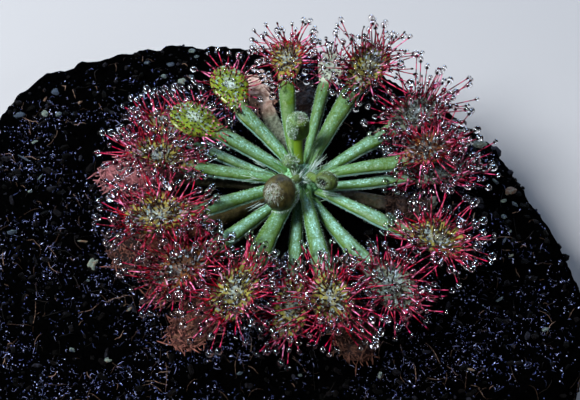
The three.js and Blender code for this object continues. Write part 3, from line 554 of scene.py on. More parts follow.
# The Heart tones, near black on most finishes, are partly a blade's own dark middle and partly painted shade.
LEAF_TONES = {
    "olive": dict(Blade=(0.19, 0.17, 0.032), Heart=(0.009, 0.003, 0.001), Edge=(0.03, 0.001, 0.001)),
    "dark": dict(Blade=(0.11, 0.036, 0.006), Heart=(0.006, 0.001, 0.001), Edge=(0.03, 0.001, 0.001)),
    "pale": dict(Blade=(0.11, 0.13, 0.095), Heart=(0.008, 0.006, 0.004), Edge=(0.03, 0.002, 0.003)),
    "bright": dict(Blade=(0.115, 0.175, 0.005), Heart=(0.06, 0.085, 0.005), Edge=(0.12, 0.1, 0.01)),
    "mint": dict(Blade=(0.4, 0.46, 0.37), Heart=(0.3, 0.34, 0.27), Edge=(0.25, 0.1, 0.09)),
    "russet": dict(Blade=(0.2, 0.16, 0.028), Heart=(0.01, 0.003, 0.001), Edge=(0.035, 0.001, 0.001)),
}

# How strong the pale glint patch in the middle of a blade is, by finish: a painted highlight.
PAINTED_GLINT = {"olive": 0.3, "dark": 0.08, "pale": 0.35, "bright": 0.75, "mint": 0.2, "russet": 0.3}

# A tentacle's stalk near the root, short inner ones, long outer ones, their tips, and the glands. The
# short inner ones are near black: their own maroon, darkened further as painted shade.
TENTACLE_TONES = {
    "olive": ((0.05, 0.026, 0.004), (0.02, 0.0006, 0.001), (0.23, 0.0004, 0.008), (0.33, 0.002, 0.045),
              (0.012, 0.0004, 0.001)),
    "dark": ((0.04, 0.008, 0.002), (0.028, 0.0006, 0.001), (0.21, 0.0004, 0.007), (0.3, 0.002, 0.04),
             (0.01, 0.0004, 0.001)),
    "pale": ((0.05, 0.045, 0.022), (0.022, 0.001, 0.003), (0.23, 0.0008, 0.013), (0.34, 0.007, 0.07),
             (0.014, 0.0006, 0.0015)),
    "bright": ((0.1, 0.14, 0.007), (0.03, 0.028, 0.003), (0.2, 0.002, 0.014), (0.25, 0.008, 0.05),
               (0.008, 0.0008, 0.0008)),
    "mint": ((0.34, 0.4, 0.3), (0.12, 0.012, 0.025), (0.2, 0.006, 0.03), (0.3, 0.03, 0.1),
             (0.04, 0.0015, 0.006)),
    "russet": ((0.055, 0.024, 0.004), (0.022, 0.0006, 0.001), (0.27, 0.0004, 0.008), (0.38, 0.002, 0.042),
               (0.014, 0.0004, 0.001)),
}
# Painted highlights: a paler streak on a tentacle's lit side, and some tentacles pale all over.
PAINTED_HIGHLIGHTS = (0.36, 0.5, 0.58), (0.68, 0.19, 0.36)  # on short and on long tentacles
TENTACLE_SHADE = (0.12, 0.05, 0.07)

# Light and dark tones of a withered blade, its bristles, and its stalk.
DRY_TONES = {
    "salmon": ((0.17, 0.055, 0.06), (0.035, 0.005, 0.008), (0.3, 0.12, 0.125), (0.018, 0.019, 0.009)),
    "rust": ((0.3, 0.1, 0.05), (0.06, 0.012, 0.008), (0.13, 0.05, 0.036), (0.05, 0.042, 0.012)),
    "moss_red": ((0.05, 0.022, 0.012), (0.014, 0.002, 0.003), (0.18, 0.07, 0.055), (0.018, 0.018, 0.008)),
    "brown": ((0.05, 0.02, 0.012), (0.008, 0.002, 0.002), (0.085, 0.036, 0.024), (0.018, 0.017, 0.008)),
    # shade: brown darkened for the withered leaves that lie under living ones, a painted shade.
    "shade": ((0.016, 0.008, 0.005), (0.003, 0.001, 0.001), (0.03, 0.014, 0.009), (0.012, 0.013, 0.006)),
    "tan": ((0.62, 0.46, 0.38), (0.36, 0.2, 0.15), (0.05, 0.003, 0.006), (0.17, 0.2, 0.14)),
}

CROWN_GREENS = (0.03, 0.11, 0.022), (0.15, 0.34, 0.19)
SILK_TONES = (0.06, 0.16, 0.04), (0.5, 0.62, 0.62)
# The first colour is a pale speckle, a painted highlight where it lies on the dome's lit side; the last is
# painted shade in the pit of the curl.
YOUNG_BLOOM_AND_SHEEN, YOUNG_RIM, YOUNG_HOLLOW_SHADE = (0.2, 0.21, 0.19), (0.075, 0.14, 0.006), (0.002, 0.002, 0.0015)
YOUNG_TONES = {  # skin and felt
    "dome": ((0.025, 0.021, 0.005), (0.09, 0.12, 0.06)),
    "knob": ((0.02, 0.038, 0.004), (0.085, 0.16, 0.06)),
    "curl": ((0.032, 0.048, 0.01), (0.075, 0.12, 0.07)),
    "bud": ((0.05, 0.085, 0.016), (0.1, 0.17, 0.09)),
}

# Dark, middle and pale tones of peat and of what lies in it, their grain and their gloss. The moss
# threads and sand grains are real bits of the peat whose pale blue tones are painted glints of wet peat.
GROUND_TONES = {
    "peat": ((0.0001, 0.0001, 0.0001), (0.0005, 0.0005, 0.0006), (0.007, 0.009, 0.016), 0.9, 0.0),
    "root fibre": ((0.001, 0.0007, 0.0006), (0.02, 0.01, 0.006), (0.17, 0.11, 0.08), 1.6, 0.1),
    "moss thread": ((0.006, 0.009, 0.032), (0.05, 0.07, 0.2), (0.34, 0.38, 0.7), 0.9, 0.3),
    "peat crumb": ((0.0002, 0.0002, 0.0002), (0.0015, 0.0012, 0.0013), (0.012, 0.013, 0.02), 0.9, 0.03),
    "sand grain": ((0.01, 0.018, 0.08), (0.09, 0.12, 0.36), (0.5, 0.55, 0.9), 0.9, 0.4),
    "chip": ((0.015, 0.024, 0.04), (0.11, 0.145, 0.12), (0.08, 0.045, 0.028), 2.6, 0.2),
}


class Finish:
    """A new material: its Principled shader, and what its values are made from."""

    def __init__(self, name, **sockets):
        self.material = bpy.data.materials.new(name)
        self.material.use_nodes = True
        self.tree = self.material.node_tree
        self.shader = self.tree.nodes["Principled BSDF"]
        self.take(**sockets)

    def take(self, **sockets):
        """Sets or links inputs of the shader, and returns the material."""
        for name, value in sockets.items():
            feed(self.shader.inputs[name.replace("_", " ")], value)
        return self.material

    def place(self):
        """Where a point of the piece is, from Object coordinates."""
        return Value(self.tree, new_node(self.tree, "TexCoord").outputs["Object"])

    def carried(self, name):
        """The value that each point of the piece carries under this name."""
        return Value(self.tree, new_node(self.tree, "Attribute", attribute_name=name).outputs["Fac"])

    def wear(self, group, **values):
        """Puts in a group with its own values, joined to the shader by the names of its outputs."""
        node = new_node(self.tree, "Group", node_tree=group, Vector=self.place(), **values)
        for output in node.outputs:
            self.tree.links.new(output, self.shader.inputs[SHADER_INPUTS[output.name]])
        return self.material


def leaf_material(tone):
    """A living leaf's skin, waxier where the tone is bright."""
    finish = Finish(
        f"leaf {tone}", Subsurface_Weight=0.05, Subsurface_Scale=0.0004, Subsurface_Radius=(0.6, 1.0, 0.3),
        Specular_IOR_Level=0.14, Coat_Weight=0.3 if tone == "bright" else 0.0, Coat_Roughness=0.12)
    points = {key.capitalize(): finish.carried(key) for key in ("along", "across", "lit")}
    return finish.wear(leaf_skin, Stalk=STALK_GREEN, Frost=STALK_FROST, Silver=PAINTED_GLINT[tone],
                       Cover=finish.carried("frost"), **points, **LEAF_TONES[tone])


def dry_material(tone):
    """A withered leaf's skin and bristles, with painted shade under the bristles of a rusty one."""
    finish = Finish(f"dry {tone}", Roughness=0.6, Specular_IOR_Level=0.1)
    light, dark, hair, stalk = DRY_TONES[tone]
    return finish.wear(dry_skin, Light=light, Dark=dark, Hair=hair, Stalk=stalk, Brush=float(tone == "rust"),
                       Along=finish.carried("along"), Tone=finish.carried("tone"))


def tentacle_material(tone):
    """Root, stalk and tip colours run into each other along a tentacle, maroon where it is short and
    crimson where it is long, and its gland is dark. A pale streak on the side facing LIT_FROM, and a
    pale colour all over some tentacles, are painted highlights."""
    finish = Finish(f"tentacle {tone}", Roughness=0.5, Specular_IOR_Level=0.0, Coat_Weight=0.2,
                    Coat_Roughness=0.1, Coat_IOR=1.42)
    root, inner, outer, tip, gland = TENTACLE_TONES[tone]
    place, along, far = finish.place(), finish.carried("along"), finish.carried("far")
    broad = place.noise(1.3, 2)
    reach = (far + (broad - 0.5) * 0.5).step(0.35, 0.75)
    colour = mixed(reach, inner, outer)
    colour = mixed(along.step(0.5, 0.15), colour, mixed(reach, root, outer))
    colour = mixed(along.step(0.4, 0.95) * reach, colour, tip)
    # Painted highlight: a pale streak on the side that faces LIT_FROM.
    painted_streak = finish.carried("lit") * along.step(1.0, 0.6) * place.noise(1.1, 2).step(0.38, 0.55)
    colour = mixed(painted_streak, colour, mixed(reach, *PAINTED_HIGHLIGHTS))
    colour = mixed(along.step(1.0, 1.15), colour, gland)
    dimmed = broad.step(0.42, 0.58).span(0.0, 0.95)
    return finish.take(Base_Color=mixed(dimmed, colour, TENTACLE_SHADE, "MULTIPLY"))


def mucilage_material(name, coat_ior):
    """Clear drops with the faintest warm cast and slow waves in their skin."""
    finish = Finish(name, Roughness=0.0, IOR=1.4, Transmission_Weight=1.0, Coat_Weight=1.0,
                    Coat_Roughness=0.0, Coat_IOR=coat_ior, Specular_Tint=(0.6, 0.75, 1.0))
    clouds = finish.place().noise(1.1, 2)
    cast = mixed(clouds.step(0.4, 0.7), (1, 1, 1), (1, 0.93, 0.94))
    return finish.take(Base_Color=cast, Normal=clouds.bump(0.25, 0.1))


def silk_material():
    """Silvery hairs and papillae, greener at their roots."""
    finish = Finish("silk", Roughness=0.4, Specular_IOR_Level=0.2)
    tone = finish.carried("tone") + finish.place().noise(2.0, 2)
    return finish.take(Base_Color=mixed(tone.step(0.5, 1.5), *SILK_TONES))


def young_material(name):
    """A rolled young blade: satin skin with fine cells drawn out upwards, a paler edge where rim is
    high, felt where felt is high, a pale speckle (on the dome a painted highlight on its lit side), and
    near-black painted shade in the hollow."""
    finish = Finish(f"young {name}", Roughness=0.42, Specular_IOR_Level=0.14)
    skin, felt = YOUNG_TONES[name]
    place = finish.place()
    place = place.through("Mapping", "Vector", Vector=place, Scale=(1.0, 1.0, 0.4))
    fine = place.noise(3.4, 4, 0.75)
    dark, light = (tuple(c * share for c in skin) for share in (0.4, 1.8))
    colour = mixed(place.noise(1.1, 5, 0.7).step(0.36, 0.64), dark, light)
    # A pale speckle: on the dome a painted highlight on its lit side, on the tall knob's top and some stalks
    # a pale speckle of their own.
    colour = mixed(finish.carried("bloom") * fine.step(0.46, 0.58), colour, YOUNG_BLOOM_AND_SHEEN)
    colour = mixed(finish.carried("felt") * fine.step(0.4, 0.56), colour, felt)
    colour = mixed(finish.carried("rim"), colour, YOUNG_RIM)
    # Painted shade: the pit of the curl is near black.
    colour = mixed(finish.carried("hollow"), colour, YOUNG_HOLLOW_SHADE)
    return finish.take(Base_Color=colour, Normal=fine.bump(0.8, 0.12))


def crown_material():
    """Green felt in two tones."""
    finish = Finish("crown", Roughness=0.5, Specular_IOR_Level=0.2)
    fine = finish.place().noise(3.6, 4)
    return finish.take(Base_Color=mixed(fine.step(0.35, 0.62), *CROWN_GREENS), Normal=fine.bump(0.7, 0.15))


def ground_material(name, tone=None):
    """Peat or what lies in it. Without a plain tone, each point carries its own."""
    dark, middle, pale, grain, gloss = GROUND_TONES[name]
    finish = Finish(name, Specular_IOR_Level=gloss)
    return finish.wear(wet_grain, Dark=dark, Middle=middle, Pale=pale, Grain=grain,
                       Tone=finish.carried("tone") if tone is None else tone)


# ---------------------------------------------------------------- peat


def rim_table():
    """Direction and distance of the rim from the hummock's middle, from a smooth closed curve through
    its points: each span is the cubic whose slopes are half the chords of the neighbours."""
    p = PEAT_RIM - PEAT_CENTRE
    w = np.linspace(0, 1, 24, endpoint=False)[None, :, None]
    a, b, c, d = (np.roll(p, shift, axis=0)[:, None] for shift in (1, 0, -1, -2))
    curve = 0.5 * (2 * b + (c - a) * w + (2 * a - 5 * b + 4 * c - d) * w**2 + (3 * b - 3 * c + d - a) * w**3)
    curve = curve.reshape(-1, 2)
    angle = np.arctan2(curve[:, 1], curve[:, 0])
    order = np.argsort(angle)
    return angle[order], np.linalg.norm(curve, axis=1)[order]


RIM_ANGLE, RIM_RADIUS = rim_table()


def peat_rim(angle):
    """Distance from the hummock's middle to its rim in one direction."""
    return np.interp(angle, RIM_ANGLE, RIM_RADIUS, period=2 * math.pi)


def rim_share(x, y):
    """0 at the hummock's middle, 1 at its rim."""
    px, py = x - PEAT_CENTRE[0], y - PEAT_CENTRE[1]
    return np.minimum(1, np.hypot(px, py) / peat_rim(np.arctan2(py, px)))


CROWN_SHARE = rim_share(0.0, 0.0)


def from_middle(angle, r):
    """The place at a direction and distance from the hummock's middle."""
    return PEAT_CENTRE[0] + r * np.cos(angle), PEAT_CENTRE[1] + r * np.sin(angle)


def peat_level(x, y):
    """Height of the smooth surface: a dome that falls with the cube of the share, and slow swells."""
    swell = 0.35 * np.sin(0.31 * x + 0.4) * np.cos(0.27 * y - 0.5)
    clear = smooth((np.hypot(x, y) - 6) / 10)
    return PEAT_TOP - PEAT_FALL * (rim_share(x, y) ** 3 - CROWN_SHARE**3) + swell * clear


def peat_surface(x, y):
    """The smooth surface with clods, matted crests and crumbs, gentler under the rosette."""
    calm = lerp(0.5, 1.0, smooth((np.hypot(x, y) - 12) / 14))
    clods = layered_noise(x + 50, y + 50, 6.5, 2, 11) - 0.6
    mat = layered_noise(x + 60, y + 60, 3.1, 4, 51, True) - 0.62
    crumbs = layered_noise(x + 50, y + 50, 1.1, 3, 31) - 0.5
    return peat_level(x, y) + calm * (1.2 * clods + 1.9 * mat + 1.1 * crumbs) - 0.3


def flank_point(angle, walk):
    """A point of the flank in a direction, 0 at the shoulder and 1 at the underside: the rim moved in
    and out by noise that fades at both ends."""
    rim = peat_rim(angle)
    z = peat_surface(*from_middle(angle, SHOULDER * rim)) * np.interp(walk, FLANK_KNOTS, FLANK_HEIGHT)
    wander = layered_noise(34 * np.cos(angle) + 90, 34 * np.sin(angle) + z + 90, 3.0, 4, 71) - 0.5
    moved = 2.2 * wander * np.sin(np.clip(walk, 0, 1) * math.pi) ** 0.5
    x, y = from_middle(angle, rim * np.interp(walk, FLANK_KNOTS, FLANK_WIDTH) + moved)
    return np.stack([x, y, z], axis=-1)


def make_peat():
    """The hummock as a function of direction and of a walk from the middle of its top over the
    shoulder and down the flank to the underside, closed on a pole at each end."""
    angle = turns(PEAT_SPOKES)
    x, y = from_middle(angle, peat_rim(angle) * column(np.linspace(0.004, SHOULDER, PEAT_RINGS)))
    top = np.stack([x, y, peat_surface(x, y)], axis=-1)
    flank = flank_point(angle, column(np.linspace(0, 1, FLANK_RINGS)[1:]) * np.ones_like(angle))
    under = flank[-1:] * np.array([1, 1, 0])
    under[..., :2] = PEAT_CENTRE + 0.5 * (under[..., :2] - PEAT_CENTRE)
    points, faces = closed_tube(np.concatenate([top, flank, under]))
    piece("peat_clod", points, faces, ground_material("peat", 0.4), ["peat"])


def scattered(rng, count, within, patchy):
    """Places on the peat, even over its area but denser in patches, and clear of the crown."""
    angle = angles(rng, count * 5)
    x, y = from_middle(angle, peat_rim(angle) * np.sqrt(rng.random(count * 5)) * within)
    richer = 0.14 * smooth((-x - y) / 40)
    for at_x, at_y, wide, amount in LITTER_SPOTS:
        richer += amount * np.exp(-((x - at_x) ** 2 + (y - at_y) ** 2) / wide**2)
    patches = layered_noise(x + 70, y + 70, 7.0, 4, 91) + richer
    chance = lerp(1.0, smooth((patches - 0.4) / 0.25), patchy)
    keep = np.flatnonzero((np.hypot(x, y) > CLEAR_OF_CROWN) & (rng.random(len(x)) < chance))[:count]
    return x[keep], y[keep]


def bowed(x, y, long, s, heading, bow):
    """Places along a line with its middle at x, y: it turns to its heading, and bows aside by a
    quarter less the square of the share s along it."""
    aside = bow * (0.25 - s**2)
    return (x + long * s * np.cos(heading) - aside * np.sin(heading),
            y + long * s * np.sin(heading) + aside * np.cos(heading))


def blunt(thick, s):
    """Radii along a fibre: even, and rounded off at both ends."""
    return thick * np.sqrt(np.clip(1.02 - (2 * s) ** 4, 0.1, 1))


def litter(name, mesh, material, tones, faceted=True):
    """A piece of the peat, each of whose grains or fibres has a tone of its own."""
    points, faces, step = mesh
    piece(name, points, faces, material, values={"tone": np.repeat(tones, step)}, faceted=faceted)


def make_fibres(name, material, seed, count, length, radius, arch, tones, rings, sides, patchy, bend):
    """Roots and moss threads that lie on the peat: bent lines that follow its surface."""
    rng = np.random.default_rng(seed)
    x, y = (column(v) for v in scattered(rng, count, 0.95, patchy))
    rows = (len(x), 1)
    s = np.linspace(-0.5, 0.5, rings)[None]
    long = lerp(*length, rng.random(rows) ** 2)
    heading = angles(rng, *rows)
    px, py = bowed(x, y, long, s, heading, rng.normal(0, bend, rows) * long)
    thick = lerp(*radius, rng.random(rows) ** 1.5)
    rise = arch * rng.random(rows) * (0.25 - s**2) * 4 + thick * 0.5
    inside = rim_share(px, py) < 0.975
    px, py = np.where(inside, px, x), np.where(inside, py, y)
    paths = np.stack([px, py, peat_surface(px, py) + rise], axis=-1)
    kept = inside.all(axis=1)
    mesh = strands(paths[kept], (blunt(thick, s) * np.ones_like(px))[kept], sides)
    litter(name, mesh, material, lerp(*tones, rng.random(kept.sum())), False)


def make_grains(name, material, seed, count, size, patchy, flat, long, tones, sides, rings):
    """Crumbs and sand on the peat: squashed, turned little balls with knocked-in points, up to long
    times as long as wide."""
    rng = np.random.default_rng(seed)
    x, y = scattered(rng, count, 0.97, patchy)
    count = len(x)
    r = lerp(*size, rng.random(count) ** 2.5)
    centre = np.stack([x, y, peat_surface(x, y) + r * 0.3], axis=-1)
    heading = angles(rng, count)
    axis = unit(np.stack([np.cos(heading), np.sin(heading), rng.normal(0, 0.5, count)], axis=-1))
    points, faces, step = beads(centre, axis, r, lerp(1.0, long, rng.random(count) ** 1.5), sides, rings)
    centres = np.repeat(centre, step, axis=0)
    knocked = centres + (points - centres) * lerp(0.65, 1.2, rng.random((len(points), 1)))
    knocked[:, 2] = lerp(centres[:, 2], knocked[:, 2], flat)
    litter(name, (knocked, faces, step), material, lerp(*tones, rng.random(count)))


def make_flank_litter(fibre, crumb, sand):
    """Roots, crumbs and sand pressed into the flank: bent lines and little balls, placed by direction
    and by the way down."""
    rng = np.random.default_rng(29)
    tones = (0.1, 0.95)
    count, round_flank, down_flank = 300, 37, 13
    rows = (count, 1)
    s = np.linspace(-0.5, 0.5, 6)[None]
    long = lerp(0.8, 5.0, rng.random(rows) ** 1.6)
    heading = angles(rng, *rows)
    side, down = bowed(0, 0, long, s, heading, rng.normal(0, 0.5, rows) * long)
    angle = angles(rng, *rows) + side / round_flank
    paths = flank_point(angle, np.clip(rng.uniform(0.05, 0.9, rows) + down / down_flank, 0.02, 0.97))
    thick = rng.uniform(0.03, 0.08, rows)
    paths[..., 0] += 0.5 * thick * np.cos(angle)
    paths[..., 1] += 0.5 * thick * np.sin(angle)
    mesh = strands(paths, blunt(thick, s), 4)
    litter("flank_fibres", mesh, fibre, rng.uniform(*tones, count), False)

    # The flank's sand shares the grains' pale blue tones, painted glints of wet peat.
    for name, count, size, material, sides, rings in (
        ("flank_crumbs", 700, (0.15, 0.6), crumb, 5, 2), ("flank_sand", 1800, (0.04, 0.12), sand, 3, 1),
    ):
        centre = flank_point(angles(rng, count), rng.uniform(0.0, 0.96, count))
        axis = unit(rng.normal(0, 1, (count, 3)))
        r = lerp(*size, rng.random(count) ** 2)
        centre[:, 2] = np.maximum(centre[:, 2], r * 1.6)
        mesh = beads(centre, axis, r, lerp(1.0, 1.6, rng.random(count)), sides, rings)
        litter(name, mesh, material, rng.uniform(*tones, count))


def make_chips(material):
    """Larger chips and sticks: flat balls of 12 by 7 points, whose radius wanders with direction."""
    rng = np.random.default_rng(17)
    x, y, length, width, turn, tone = (column(v) for v in np.array(CHIPS).T)
    count, raised = len(x), 0.22
    ones = np.ones(count)
    points, faces, step = beads(np.zeros((count, 3)), np.tile(SIDEWAYS, (count, 1)), ones, ones, 12, 7)
    points = points.reshape(count, step, 3)
    d = points + rng.random((count, 1, 3)) * 40
    lump = 0.2 + 1.1 * layered_noise(d[..., 0] + 0.7 * d[..., 2], d[..., 1], 0.8, 3, 29)
    half = np.stack([length / 2, width / 2, width * 0.24 + 0.05], axis=-1)
    points = points * column(lump) * half
    px, py = turned(points[..., 0], points[..., 1], np.cos(np.radians(turn)), np.sin(np.radians(turn)))
    tilted = points[..., 2] + 0.1 * points[..., 0] * rng.normal(0, 1, (count, 1))
    whole = np.stack([px, py, tilted], axis=-1) + np.stack([x, y, peat_surface(x, y) + raised], axis=-1)
    litter("chips", (whole.reshape(-1, 3), faces, step), material, tone[:, 0])


# ---------------------------------------------------------------- leaves


def midrib_radii(leaf):
    """Distances of a midrib's five points from the axis."""
    root, neck, tip = leaf["root"], leaf["neck"], leaf["tip"]
    return np.array([root, (root + neck) / 2, neck, (neck + tip) / 2, tip])


def leaf_rows():
    """All leaves as dictionaries, the withered ones laid along the peat. The stub and the growth are
    a tentacle's share of the leaf's reach, and wet is the share of inner ones with a drop."""
    rows = []
    for number, row in enumerate(LIVING, 1):
        leaf = dict(zip(LIVING_KEYS, row), name=f"leaf_{number:02d}", seed=number, root=ROOTED_AT, wave=0.0)
        bright = leaf["finish"] == "bright"
        stub, growth, wet = (0.1, 0.15, 0.08) if bright else (0.19, 0.55, 0.44)
        rows.append({**leaf, "dry": False, "stub": stub, "growth": growth, "wet": wet})
    for number, row in enumerate(WITHERED, 1):
        leaf = dict(zip(WITHERED_KEYS, row), name=f"withered_{number}", seed=100 + number)
        radii = midrib_radii(leaf)
        heading = math.radians(leaf["heading"])
        ground = peat_level(radii * math.cos(heading), radii * math.sin(heading)) - PEAT_TOP
        z = ground + WITHERED_ABOVE + leaf["lift"] * WITHERED_LIFT
        z[0] = ground[0] + leaf["base"]
        laid = {"azimuth": (leaf["heading"],) * 3, "z": z, "stalk": 1.0, "cup": -0.1, "roll": 0.0}
        rows.append({**leaf, **laid, "dry": True})
    return rows


def midrib(leaf, along):
    """Point and unit direction of the midrib: a cubic through five points, whose slopes come from
    spans measured by the square root of their length. Past the root it runs on inwards."""
    root, neck, tip = np.radians(leaf["azimuth"])
    heading = np.array([root, lerp(root, neck, 0.65), neck, lerp(neck, tip, 0.6), tip])
    radii = midrib_radii(leaf)
    height = PEAT_TOP + np.asarray(leaf["z"])
    p = np.stack([radii * np.cos(heading), radii * np.sin(heading), height], axis=-1)
    p = np.vstack([2 * p[0] - p[1], p, 2 * p[-1] - p[-2]])
    x = np.asarray(along) * 4
    i = np.clip(np.floor(x), 0, 3).astype(int)
    w = column(x - i)
    p0, p1, p2, p3 = (p[i + k] for k in range(4))
    spans = (p1 - p0, p2 - p1, p3 - p2)
    d0, d1, d2 = (np.sum(span**2, axis=-1, keepdims=True) ** 0.25 for span in spans)
    m1 = ((p1 - p0) / d0 - (p2 - p0) / (d0 + d1) + (p2 - p1) / d1) * d1
    m2 = ((p2 - p1) / d1 - (p3 - p1) / (d1 + d2) + (p3 - p2) / d2) * d1
    c2, c3 = -3 * p1 + 3 * p2 - 2 * m1 - m2, 2 * p1 - 2 * p2 + m1 + m2
    return p1 + m1 * w + c2 * w**2 + c3 * w**3, unit(m1 + 2 * c2 * w + 3 * c3 * w**2)


def stalk_half(leaf, s):
    """A narrow root, a quick widening to the waist, then a slow flare to the neck."""
    waist = lerp(STALK_HALF["root"], STALK_HALF["waist"] * leaf["stalk"], smooth(s / 0.3))
    return lerp(waist, STALK_HALF["neck"] * leaf["stalk"], smooth(s))


def blade_half(leaf, s):
    """The outline flares over half the blade's length and rounds off over its last part."""
    flare = lerp(stalk_half(leaf, np.ones_like(s)), leaf["width"] / 2, smooth(s / 0.5))
    past = np.clip((s - ROUND_FROM) / (1 - ROUND_FROM), 0, 1)
    return flare * np.sqrt(np.maximum(0, 1 - past**2))


def leaf_frame(leaf, t):
    """The midrib's point and directions at t, with the half-width, thickness, cup and wave there."""
    t = np.asarray(t, float)
    on_stalk = t < NECK_AT
    s = np.where(on_stalk, t / NECK_AT, (t - NECK_AT) / (1 - NECK_AT))
    centre, ahead = midrib(leaf, np.where(on_stalk, s * 0.5, 0.5 + s * 0.5))
    side = unit(np.cross(UP, ahead))
    normal = unit(np.cross(ahead, side))
    roll = np.radians(leaf["roll"]) * column(np.where(on_stalk, s * np.abs(s), 1.0))
    side, normal = side * np.cos(roll) + normal * np.sin(roll), normal * np.cos(roll) - side * np.sin(roll)
    root, waist, neck = STALK_THICK.values()
    thin = lerp(lerp(root, waist, smooth(s / 0.25)), neck, s)
    return {
        "centre": centre, "ahead": ahead, "side": side, "normal": normal,
        "half": np.where(on_stalk, stalk_half(leaf, np.maximum(s, 0)), blade_half(leaf, s)),
        "thick": np.where(on_stalk, thin, lerp(neck, BLADE_THICK, smooth(s / 0.4))),
        "cup": np.where(on_stalk, 0.0, leaf["cup"] * smooth(s / 0.4)),
        "wave": np.where(on_stalk, 0.0, leaf["wave"] * smooth(s / 0.3)),
    }


def leaf_point(leaf, t, u, lift):
    """A point of a leaf: u half-widths across, risen by the cup and the ripples, and lift half
    thicknesses off the middle surface."""
    f = leaf_frame(leaf, t)
    ripple = f["wave"] * np.sin(RIPPLE["pace"] * np.asarray(t) + RIPPLE["between"] * np.sign(u) + leaf["tip"])
    rise = f["cup"] * f["half"] * u * u + ripple * u * u
    rise = rise + lift * f["thick"] / 2
    return f["centre"] + column(f["half"] * u) * f["side"] + column(rise) * f["normal"]


def make_skin(leaf, material):
    """The leaf as a tube: round the leaf, a point sits at cos(a) half-widths across and at sin(a) to
    the power 0.6 off the middle, and along it the outline narrows at the root and the tip."""
    stations, around, tip_from, dry = 64, 24, 0.9, leaf["dry"]
    t = column(lerp(-0.05, 1.0, np.linspace(0, 1, stations)))
    eased = tip_from + 0.1 * np.sin((t - tip_from) / 0.1 * math.pi / 2)
    a = turns(around, 0.5)
    t = np.where(t > tip_from, eased, t) * np.ones_like(a)
    u = np.cos(a) * np.ones_like(t)
    lift = np.sign(np.sin(a)) * np.abs(np.sin(a)) ** 0.6 * np.ones_like(t)
    ragged = 0.3 * smooth((t - 0.45) / 0.15) if dry else 0.05
    noise = layered_noise(t * 22 + leaf["seed"] * 3, np.sign(u) * 4 + 9, 1.0, 3, 5)
    wobble = 1 + ragged * (noise - 0.5) * 2
    sheath = 1 + 0.55 * bell(np.maximum(t, -0.05), 0, 0.07) * (0 if dry else 1)
    closing = np.clip(np.minimum((1.004 - t) / 0.03, 1), 0, 1) ** 0.5
    points = leaf_point(leaf, t, u * wobble * sheath, lift * closing)
    if dry:
        crumple = layered_noise(points[..., 0] + 60, points[..., 1] + 60, 1.3, 3, leaf["seed"]) - 0.45
        points[..., 2] += crumple * 1.3 * smooth((t - 0.4) / 0.2)
        values = {"tone": (np.zeros(t.shape), 0, 0)}
    else:
        ridge = 0.2 * (1 - u * u) * (lift > 0) * smooth((NECK_AT - t) / 0.15) * smooth((t + 0.05) / 0.1)
        points = points + column(ridge) * leaf_frame(leaf, t)["normal"]
        round_ = np.roll(points, -1, axis=1) - np.roll(points, 1, axis=1)
        # How much each point of the skin faces LIT_FROM, for the painted shade and painted highlight of the
        # stalk.
        lit = unit(np.cross(np.gradient(points, axis=0), round_)) @ unit(LIT_FROM)
        on_top = around // 4
        outward_lit = -lit if np.median(lit[:, on_top]) < 0 else lit
        frost = leaf["frost"]
        values = {"across": (u, 0, 0), "lit": (smooth(0.15 + outward_lit), 1, 1),
                  "frost": (0 * t + frost, frost, frost)}
    values = {key: np.append(body, poles) for key, (body, *poles) in {"along": (t, 0, 1), **values}.items()}
    points, faces = closed_tube(points)
    piece(leaf["name"] + "_skin", points, faces, material, [leaf["name"]], values)


def blade_sites(leaf, rng, spacing):
    """Places on a blade in staggered rows, in millimetres along and across it, moved a little."""
    length, reach = leaf["tip"] - leaf["neck"], 4
    rows, places = np.arange(0.2, length, spacing * 0.87), np.arange(-reach, reach, spacing)
    a, b = np.meshgrid(rows, places, indexing="ij")
    b = b + column(np.arange(len(rows)) % 2) * spacing / 2
    a = a + rng.normal(0, spacing * 0.16, a.shape)
    b = b + rng.normal(0, spacing * 0.16, b.shape)
    s = np.clip(a / length, 0.02, 0.995)
    u = b / np.maximum(blade_half(leaf, s), 0.05)
    keep = np.abs(u) < 0.93
    return s[keep], u[keep]


def edge_sites(leaf, rng, spacing):
    """Places round a blade's edge, evenly spaced along its outline, and sparser near its neck."""
    half = 200
    s = np.concatenate([np.linspace(0.0, 1, half), np.linspace(1, 0.0, half)])
    sign = np.repeat([-1.0, 1.0], half)
    edge = leaf_point(leaf, NECK_AT + s * (1 - NECK_AT), sign, 0)
    run = np.concatenate([[0], np.cumsum(np.linalg.norm(np.diff(edge, axis=0), axis=1))])
    at = np.arange(spacing / 2, run[-1], spacing)
    at = at + rng.normal(0, spacing * 0.15, len(at))
    at = at[rng.random(len(at)) < lerp(0.55, 1.0, smooth(np.interp(at, run, s) / 0.4))]
    left = np.interp(at, run, np.arange(2 * half)) < half
    return np.interp(at, run, s), 0.97 * np.where(left, -1.0, 1.0)


def over_ground(paths, room):
    """Paths lifted where they would run into the peat."""
    floor = peat_surface(paths[..., 0], paths[..., 1]) + room
    paths[..., 2] = np.maximum(paths[..., 2], floor)
    return paths


def under_ceiling(paths):
    """Paths whose height, past the ceiling, creeps up a little as a hyperbolic tangent."""
    top, creep = CEILING
    over = np.maximum(paths[..., 2] - top, 0)
    paths[..., 2] = np.minimum(paths[..., 2], top) + creep * np.tanh(over / creep)
    return paths


# ---------------------------------------------------------------- tentacles and drops

